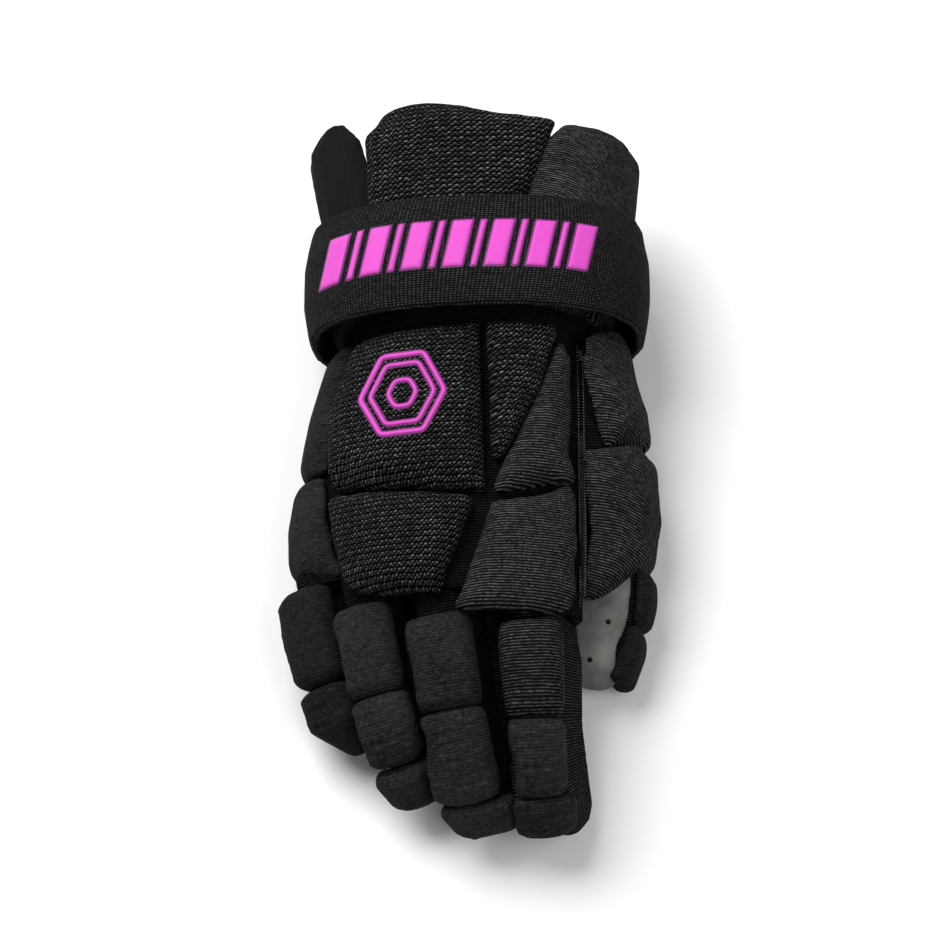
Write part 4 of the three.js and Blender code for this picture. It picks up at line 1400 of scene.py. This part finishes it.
class Beds(Graph):
    """A geometry node group that puts small shapes on the points it is given, each lying on the cloth."""

    def __init__(self, name: str) -> None:
        """Makes the group's inputs and its nodes.

        Args:
            name: the group's name.
        """
        super().__init__(bpy.data.node_groups.new(name, "GeometryNodeTree"))
        face = self.tree.interface
        face.new_socket("Geometry", in_out="INPUT", socket_type="NodeSocketGeometry")
        kinds = dict.fromkeys(("Spacing", "Length", "Width", "Height", "Lift"), "NodeSocketFloat")
        kinds["Material"] = "NodeSocketMaterial"
        self.inputs = {
            label: face.new_socket(label, in_out="INPUT", socket_type=kind).identifier for label, kind in kinds.items()
        }
        face.new_socket("Geometry", in_out="OUTPUT", socket_type="NodeSocketGeometry")
        self.given = self.make("NodeGroupInput").outputs
        self.outward = self.out("GeometryNodeInputNamedAttribute", {"Name": "out"}, data_type="FLOAT_VECTOR")
        self.upright = self.out("FunctionNodeAlignRotationToVector", {"Vector": self.outward}, axis="Z")
        shapes = self.out("GeometryNodeRealizeInstances", [self.shapes()])
        finished = self.out("GeometryNodeSetMaterial", {"Geometry": shapes, "Material": self.given["Material"]})
        self.make("NodeGroupOutput", [finished])

    def shapes(self) -> Socket:
        """The shapes on their points."""
        raise NotImplementedError

    def instances(self, points: Socket, shape: Socket, turn: Socket) -> Socket:
        """Puts a shape on each point.

        Args:
            points: the points, which are lifted from the cloth.
            shape: the shape, which is sized.
            turn: the way that it is turned.

        Returns:
            The shapes.
        """
        lift = {"Vector": self.outward, "Scale": self.given["Lift"]}
        offset = self.out("ShaderNodeVectorMath", lift, operation="SCALE")
        lifted = self.out("GeometryNodeSetPosition", {"Geometry": points, "Offset": offset})
        size = self.out("ShaderNodeCombineXYZ", [self.given[label] for label in ("Length", "Width", "Height")])
        inputs = {"Points": lifted, "Instance": shape, "Rotation": turn, "Scale": size}
        return self.out("GeometryNodeInstanceOnPoints", inputs)

    def bake(self, mesh: bpy.types.Mesh, name: str, look: Look, node: str, **sizes: float) -> None:
        """Runs the group once and keeps what it makes as a piece.

        Args:
            mesh: the points or paths, with their directions out of the cloth.
            name: the piece's name.
            look: its finish.
            node: the CAD node that it stands for, passed on but not used.
            sizes: the group's inputs by name.
        """
        inputs = {self.inputs[label]: value for label, value in sizes.items()}
        inputs[self.inputs["Material"]] = look.value.material()
        Skin(mesh).passed("NODES", inputs, node_group=self.tree).lay_map().shown(name, look, node)


class StitchBeds(Beds):
    """Stitches at even distances along paths."""

    def shapes(self) -> Socket:
        """Puts stitches along the paths.

        Returns:
            The stitches.
        """
        curve = self.out("GeometryNodeMeshToCurve", [self.given["Geometry"]])
        even = self.out("GeometryNodeResampleCurve", {"Curve": curve, "Length": self.given["Spacing"]}, mode="LENGTH")
        turn = {"Rotation": self.upright, "Vector": self.out("GeometryNodeInputTangent")}
        turned = self.out("FunctionNodeAlignRotationToVector", turn, axis="X", pivot_axis="Z")
        bead = self.out("GeometryNodeMeshUVSphere", {"Segments": 6, "Rings": 4, "Radius": 0.5})
        return self.instances(even, bead, turned)


class HoleBeds(Beds):
    """Round punched holes, one on each point."""

    def shapes(self) -> Socket:
        """The holes on their points."""
        disc = self.out("GeometryNodeMeshCylinder", {"Vertices": 20, "Radius": 0.5, "Depth": 1.0})
        return self.instances(self.given["Geometry"], disc, self.upright)


def path_mesh(hits: list[Array], normals: list[Array]) -> bpy.types.Mesh:
    """Joins points into paths that keep the direction out of the cloth.

    Args:
        hits: the points of each path.
        normals: the directions out of the cloth there.

    Returns:
        The mesh of edges.
    """
    mesh = bpy.data.meshes.new("paths")
    edges, start = [], 0
    for run in hits:
        edges += [(start + step, start + step + 1) for step in range(len(run) - 1)]
        start += len(run)
    mesh.from_pydata(np.vstack(hits).tolist(), edges, [])
    out = mesh.attributes.new("out", "FLOAT_VECTOR", "POINT")
    out.data.foreach_set("vector", np.vstack(normals).ravel())
    return mesh


@dataclass
class StitchRow:
    """Rows of stitches on finished pieces."""

    name: str
    nodes: tuple[str, ...]
    paths: list[Path]
    look: Look = Look.BLACK_THREAD
    spacing: float = 2.4 * MM
    length: float = 1.7 * MM
    width: float = 0.55 * MM
    height: float = 0.45 * MM
    below: bool = False
    lift: float = 0.15
    longest_jump: float = 4 * MM
    fewest: int = 4

    def lay(self, beds: StitchBeds, covers: dict[str, Piece]) -> None:
        """Makes the stitches.

        Args:
            beds: the group that places them.
            covers: the finished pieces by the node they stand for.
        """
        surface = Surface(*(covers[node] for node in self.nodes))
        runs, outs = [], []
        for path in self.paths:
            hits, normals = surface.land(smooth_path(path), self.below)
            jump = np.append(False, lengths(np.diff(hits, axis=0)) > self.longest_jump)
            splits = np.flatnonzero(np.isnan(hits[:, 0]) | jump)
            for run, out in zip(np.split(hits, splits), np.split(normals, splits)):
                keep = ~np.isnan(run[:, 0])
                if keep.sum() >= self.fewest:
                    runs.append(run[keep])
                    outs.append(out[keep])
        sizes = {"Spacing": self.spacing, "Length": self.length, "Width": self.width, "Height": self.height}
        beds.bake(path_mesh(runs, outs), self.name, self.look, self.nodes[0], **sizes, Lift=self.height * self.lift)


@dataclass
class Embroidery:
    """Raised satin shapes with a darker edge of painted shade round them, sewn on one piece; sizes of shapes in
    millimetres.
    """

    name: str
    node: str
    lift: float = 0.9 * MM
    sunk: float = 0.12 * MM
    edge_lift: float = 0.45
    border: float = 0.8
    step: float = 0.9
    fewest_steps: int = 6
    rounding: float = 1.1
    ring_rounds: int = 3
    ring_points: int = 7
    below: bool = False
    bars: list[Path] = field(default_factory=list)
    rings: list[tuple[Path, float]] = field(default_factory=list)

    def bar(self, corners: Path, grow: float) -> tuple[Array, Array]:
        """A four-sided shape as rows of places and the share of its full height at each.

        Args:
            corners: x and y of its corners, in order.
            grow: how far its edges move out.

        Returns:
            The places in metres and the shares.
        """
        quad = np.array(corners, dtype=float)
        edges = quad[[1, 3]] - quad[0]
        reach = lengths(edges)
        steps = [np.linspace(-1, 1, max(self.fewest_steps, int(length / self.step))) for length in reach]
        s, t = np.meshgrid(*steps, indexing="ij")
        half = edges * (0.5 + grow / reach)[:, None]
        places = quad.mean(0) + s[..., None] * half[0] + t[..., None] * half[1]
        rim = np.minimum((1 - np.abs(s)) * reach[0], (1 - np.abs(t)) * reach[1]) / 2
        return places * MM, np.minimum(1.0, rim / self.rounding) ** 0.5

    def ring(self, corners: Path, breadth: float, grow: float) -> tuple[Array, Array]:
        """A closed ribbon as rows of places and the share of its full height at each.

        Args:
            corners: x and y of the corners of its middle line.
            breadth: its breadth.
            grow: how far its edges move out.

        Returns:
            The places in metres and the shares.
        """
        path = smooth_path([*corners, corners[0]], round_corners=False)[:-1] / MM
        for _ in range(self.ring_rounds):
            path = (np.roll(path, 1, 0) + path * 2 + np.roll(path, -1, 0)) / 4
        ahead = np.roll(path, -1, 0) - np.roll(path, 1, 0)
        ahead /= lengths(ahead)[:, None]
        across = np.stack([-ahead[:, 1], ahead[:, 0]], 1)
        shares = np.linspace(-1, 1, self.ring_points)
        places = path[:, None] + across[:, None] * shares[None, :, None] * (breadth / 2 + grow)
        return places * MM, np.tile(np.sqrt(np.maximum(1 - shares**2, 0)), (len(path), 1))

    def lay(self, covers: dict[str, Piece]) -> None:
        """Makes the shapes on the piece.

        Args:
            covers: the finished pieces by the node they stand for.
        """
        surface = Surface(covers[self.node])
        # The edge sheet is painted shade: a darker rim for the shaded sides of the raised stitching.
        for suffix, look, grow, lift in (
            ("edge", Look.SATIN_EDGE, self.border, self.lift * self.edge_lift),
            ("face", Look.SATIN, 0.0, self.lift),
        ):
            sheets = [(*self.bar(corners, grow), False) for corners in self.bars]
            sheets += [(*self.ring(corners, breadth, grow), True) for corners, breadth in self.rings]
            joined = bmesh.new()
            parts = [self.sheet(surface, places, shares * lift, closed) for places, shares, closed in sheets]
            for part in filter(None, parts):
                joined.from_mesh(part.mesh)
            mesh = bpy.data.meshes.new("marks")
            joined.to_mesh(mesh)
            joined.free()
            Skin(mesh).lay_map().shown(f"{self.name}_{suffix}", look, self.node)

    def sheet(self, surface: Surface, places: Array, heights: Array, closed: bool) -> Skin | None:
        """Lays rows of places on the surface and raises them.

        Args:
            surface: the piece that they are sewn on.
            places: the places in metres.
            heights: their heights in metres.
            closed: whether the last row joins the first.

        Returns:
            The sheet, or nothing if it passes the edge of the piece.
        """
        hits, normals = (part.reshape(*heights.shape, 3) for part in surface.land(places.reshape(-1, 2), self.below))
        if np.isnan(hits).any():
            log.warning("%s: a shape passes the edge of its piece", self.name)
            return None
        raised = hits + normals * (heights - self.sunk)[..., None]
        return Skin.grid(raised[:, ::-1] if self.below else raised, closed)


def hexagon(x: float, y: float, wide: float, high: float) -> Path:
    """Corners of a flat-topped hexagon round a middle, in millimetres."""
    turns = [math.radians(60 * step) for step in range(6)]
    return [(x + wide / 2 * math.cos(turn), y + high / 2 * math.sin(turn) / math.sin(math.pi / 3)) for turn in turns]


@dataclass(frozen=True)
class BarRow:
    """A row of upright bars that lean towards the thumb as they rise; sizes in millimetres."""

    start: float
    middle: float
    step: float
    count: int
    widths: tuple[float, ...]
    height: float
    slant: float

    def corners(self) -> list[Path]:
        """Finds the corners of each bar, in order.

        Returns:
            The bars.
        """
        bars = []
        for number in range(self.count):
            x, half = self.start + number * self.step, self.widths[number % len(self.widths)] / 2
            lean, rise = self.slant * self.height / 2, self.height / 2
            ends = ((-1, -1), (1, -1), (1, 1), (-1, 1))
            bars.append([(x + side * half + end * lean, self.middle + end * rise) for side, end in ends])
        return bars


PATCH_SEAMS = [
    [(-57.5, -43), (-58, -33), (-57, -8), (-53.5, 7), (-48.6, 27), (-44.6, 52), (-41.8, 76)],
    [(-57, -44.2), (-30, -46.5), (0, -46), (20, -45.5), (39, -44.4)],
    [(40, -44), (35.4, -33.5), (27.2, -21.6), (19.2, -7.6), (14.2, 7.4), (11.2, 27.2), (9.3, 52.2), (8.4, 76)],
]
THENAR_SEAM = [(31.5, -16), (25.5, -3), (21.5, 12), (18.6, 32), (17.2, 52), (16.8, 78)]
THENAR_SEAMS = [THENAR_SEAM, [(x + 3.2, y) for x, y in THENAR_SEAM]]
PIPING_SEAMS = [[(48.9, 56), (49.1, -20), (48.8, -66)], [(51.3, 56), (51.5, -20), (50.9, -66)]]
FLAP_SEAM = [(-41, 99.5), (4, 100.5), (49, 99.5)]
BINDING_SEAM = [(-40, 91), (4, 91), (48, 91)]
INDEX_VENTS = [(33.5, -129), (33, -117), (32.2, -97), (32, -81)]
OTHER_VENTS = [(0.5, -134), (-1.8, -121), (-4.6, -101), (-6.6, -83), (-30.5, -122), (-35.5, -95), (-38.8, -75)]
PATCH_VENTS = [(-21.8, -32), (10.2, -35.5), (-44.2, -21.3), (-11.2, -18.3), (-38.6, 7.6), (-20.3, 17.8), (-32, 39.6)]
VENTS = [
    ("palm_vents", "palm_suede", True, INDEX_VENTS + OTHER_VENTS),
    ("patch_vents", "palm_patch", True, PATCH_VENTS),
    ("thumb_vents", "thumb_suede", True, [(57.5, -53.8), (49, -29.4), (56.5, -7), (46.7, 2), (47.7, 28.4)]),
    ("thumb_inner_vents", "thumb_suede", False, [(61.9, -68), (53.7, -84)]),
]
STRAP_BARS = BarRow(start=-61, middle=90.5, step=9.3, count=13, widths=(9.4, 2.6), height=23, slant=0.22)
FLAP_BARS = BarRow(start=-16, middle=121, step=8.6, count=5, widths=(4.6,), height=20, slant=-0.22)
BACK_RINGS = [(hexagon(-30, 25, 38, 37), 2.0), (hexagon(-30, 25, 29, 28), 1.7), (hexagon(-30, 25, 13, 12.5), 1.7)]


@dataclass
class Trimmings:
    """Stitches, punched holes and embroidery on the finished pieces."""

    covers: dict[str, Piece]
    hole: float = 2.3 * MM
    hole_height: float = 0.3 * MM
    hole_lift: float = 0.02 * MM

    def stitches(self) -> None:
        """Sews the rows."""
        white = {"look": Look.WHITE_THREAD, "below": True, "spacing": 2.5 * MM, "length": 1.8 * MM}
        # The piping's stitches are black thread drawn grey as painted highlight.
        piping = {"look": Look.GREY_THREAD, "spacing": 1.35 * MM, "length": 0.75 * MM, "width": 0.65 * MM}
        index = {"look": Look.GREY_THREAD, "spacing": 1.5 * MM, "length": 0.7 * MM, "width": 0.5 * MM}
        rows = [
            StitchRow("patch_stitches", ("palm_patch",), PATCH_SEAMS, **white),
            StitchRow("thenar_stitches", ("thumb_suede",), THENAR_SEAMS, **white),
            StitchRow("piping_stitches", ("piping", "back_shell"), PIPING_SEAMS, **piping),
            StitchRow("index_stitches", ("index_roll_1", "index_roll_2"), [INDEX_SEAM], **index, height=0.3 * MM),
            StitchRow("ear_stitches", ("cuff_pinky_ear",), [EAR_SEAM], spacing=1.9 * MM, length=1.1 * MM),
            StitchRow("flap_stitches", ("cuff_palm_flap",), [FLAP_SEAM], height=0.6 * MM, below=True),
            StitchRow("binding_stitches", ("wrist_binding",), [BINDING_SEAM], below=True),
        ]
        beds = StitchBeds("stitch_beds")
        for row in rows:
            row.lay(beds, self.covers)

    def holes(self) -> None:
        """Punches the vent holes of the palm side."""
        beds = HoleBeds("hole_beds")
        sizes = {"Length": self.hole, "Width": self.hole, "Height": self.hole_height, "Lift": self.hole_lift}
        for name, node, below, places in VENTS:
            hits, normals = Surface(self.covers[node]).land(np.array(places) * MM, below)
            good = ~np.isnan(hits[:, 0])
            beds.bake(path_mesh([hit[None] for hit in hits[good]], [normals[good]]), name, Look.HOLE, node, **sizes)

    def marks(self) -> None:
        """Sews plain shapes where a mark goes."""
        Embroidery("strap_bars", "wrist_strap", bars=STRAP_BARS.corners()).lay(self.covers)
        Embroidery("back_rings", "centre_upper_pad", rings=BACK_RINGS).lay(self.covers)
        flap = Embroidery("flap_bars", "cuff_palm_flap", bars=FLAP_BARS.corners(), below=True, lift=0.7 * MM)
        flap.lay(self.covers)


@dataclass(frozen=True)
class Studio:
    """Pale floor, soft lights and the camera."""

    elevation: float = 68.0
    distance: float = 1.4
    frame_width: float = 0.4228
    sensor: float = 36.0
    floor_reach: float = 6.0
    floor_shade: float = 0.86
    floor_roughness: float = 0.9
    sky: float = 0.27

    def aim(self) -> Vector:
        """The middle of the glove as the camera sees it."""
        low, high = CAD_BOX
        return (Vector(low) + Vector(high)) / 2

    def build(self) -> None:
        """Makes the floor, the lights, the sky and the camera."""
        self.floor()
        self.lights()
        turn = math.radians(self.elevation)
        data = bpy.data.cameras.new("camera")
        data.sensor_width = self.sensor
        data.lens = self.sensor * self.distance / self.frame_width
        camera = placed("camera", data)
        camera.location = self.aim() + Vector((0, -math.cos(turn), math.sin(turn))) * self.distance
        camera.rotation_euler = (math.pi / 2 - turn, 0, 0)
        bpy.context.scene.camera = camera

    def floor(self) -> None:
        """Makes the floor."""
        mesh = bpy.data.meshes.new("floor")
        corners = [(x * self.floor_reach, y * self.floor_reach, 0) for x, y in ((-1, -1), (1, -1), (1, 1), (-1, 1))]
        mesh.from_pydata(corners, [], [(0, 1, 2, 3)])
        material = bpy.data.materials.new("pale_floor")
        material.use_nodes = True
        surface = material.node_tree.nodes["Principled BSDF"]
        surface.inputs["Base Color"].default_value = (self.floor_shade, self.floor_shade, self.floor_shade, 1)
        surface.inputs["Roughness"].default_value = self.floor_roughness
        mesh.materials.append(material)
        placed("floor", mesh)

    def lights(self) -> None:
        """Makes a large key light, a fill light and an even sky."""
        rows = [
            {"name": "key", "place": (-0.7, 0.7, 1.4), "size": 1.3, "power": 36.0},
            {"name": "fill", "place": (0.8, -0.5, 1.2), "size": 1.2, "power": 9.0},
        ]
        for row in rows:
            data = bpy.data.lights.new(row["name"], "AREA")
            data.shape, data.size, data.energy = "DISK", row["size"], row["power"]
            light = placed(row["name"], data)
            light.location = row["place"]
            light.rotation_euler = (self.aim() - light.location).to_track_quat("-Z", "Y").to_euler()
        world = bpy.data.worlds.new("sky")
        world.use_nodes = True
        world.node_tree.nodes["Background"].inputs["Color"].default_value = (1, 1, 1, 1)
        world.node_tree.nodes["Background"].inputs["Strength"].default_value = self.sky
        bpy.context.scene.world = world
        bpy.context.scene.view_settings.view_transform = "Standard"


def main() -> None:
    """Builds the scene."""
    logging.basicConfig(level=logging.INFO, format="%(name)s: %(message)s")
    Studio().build()
    assemblies = [Liner(), BackPads(), FingerRolls(), Cuff()]
    for assembly in assemblies:
        assembly.shape()
    BELLOWS.blow()
    for assembly in assemblies:
        assembly.dress()
    covers = {piece.node: piece.piece for assembly in assemblies for piece in assembly.pieces}
    trimmings = Trimmings(covers)
    trimmings.stitches()
    trimmings.holes()
    trimmings.marks()


if __name__ == "__main__":
    main()
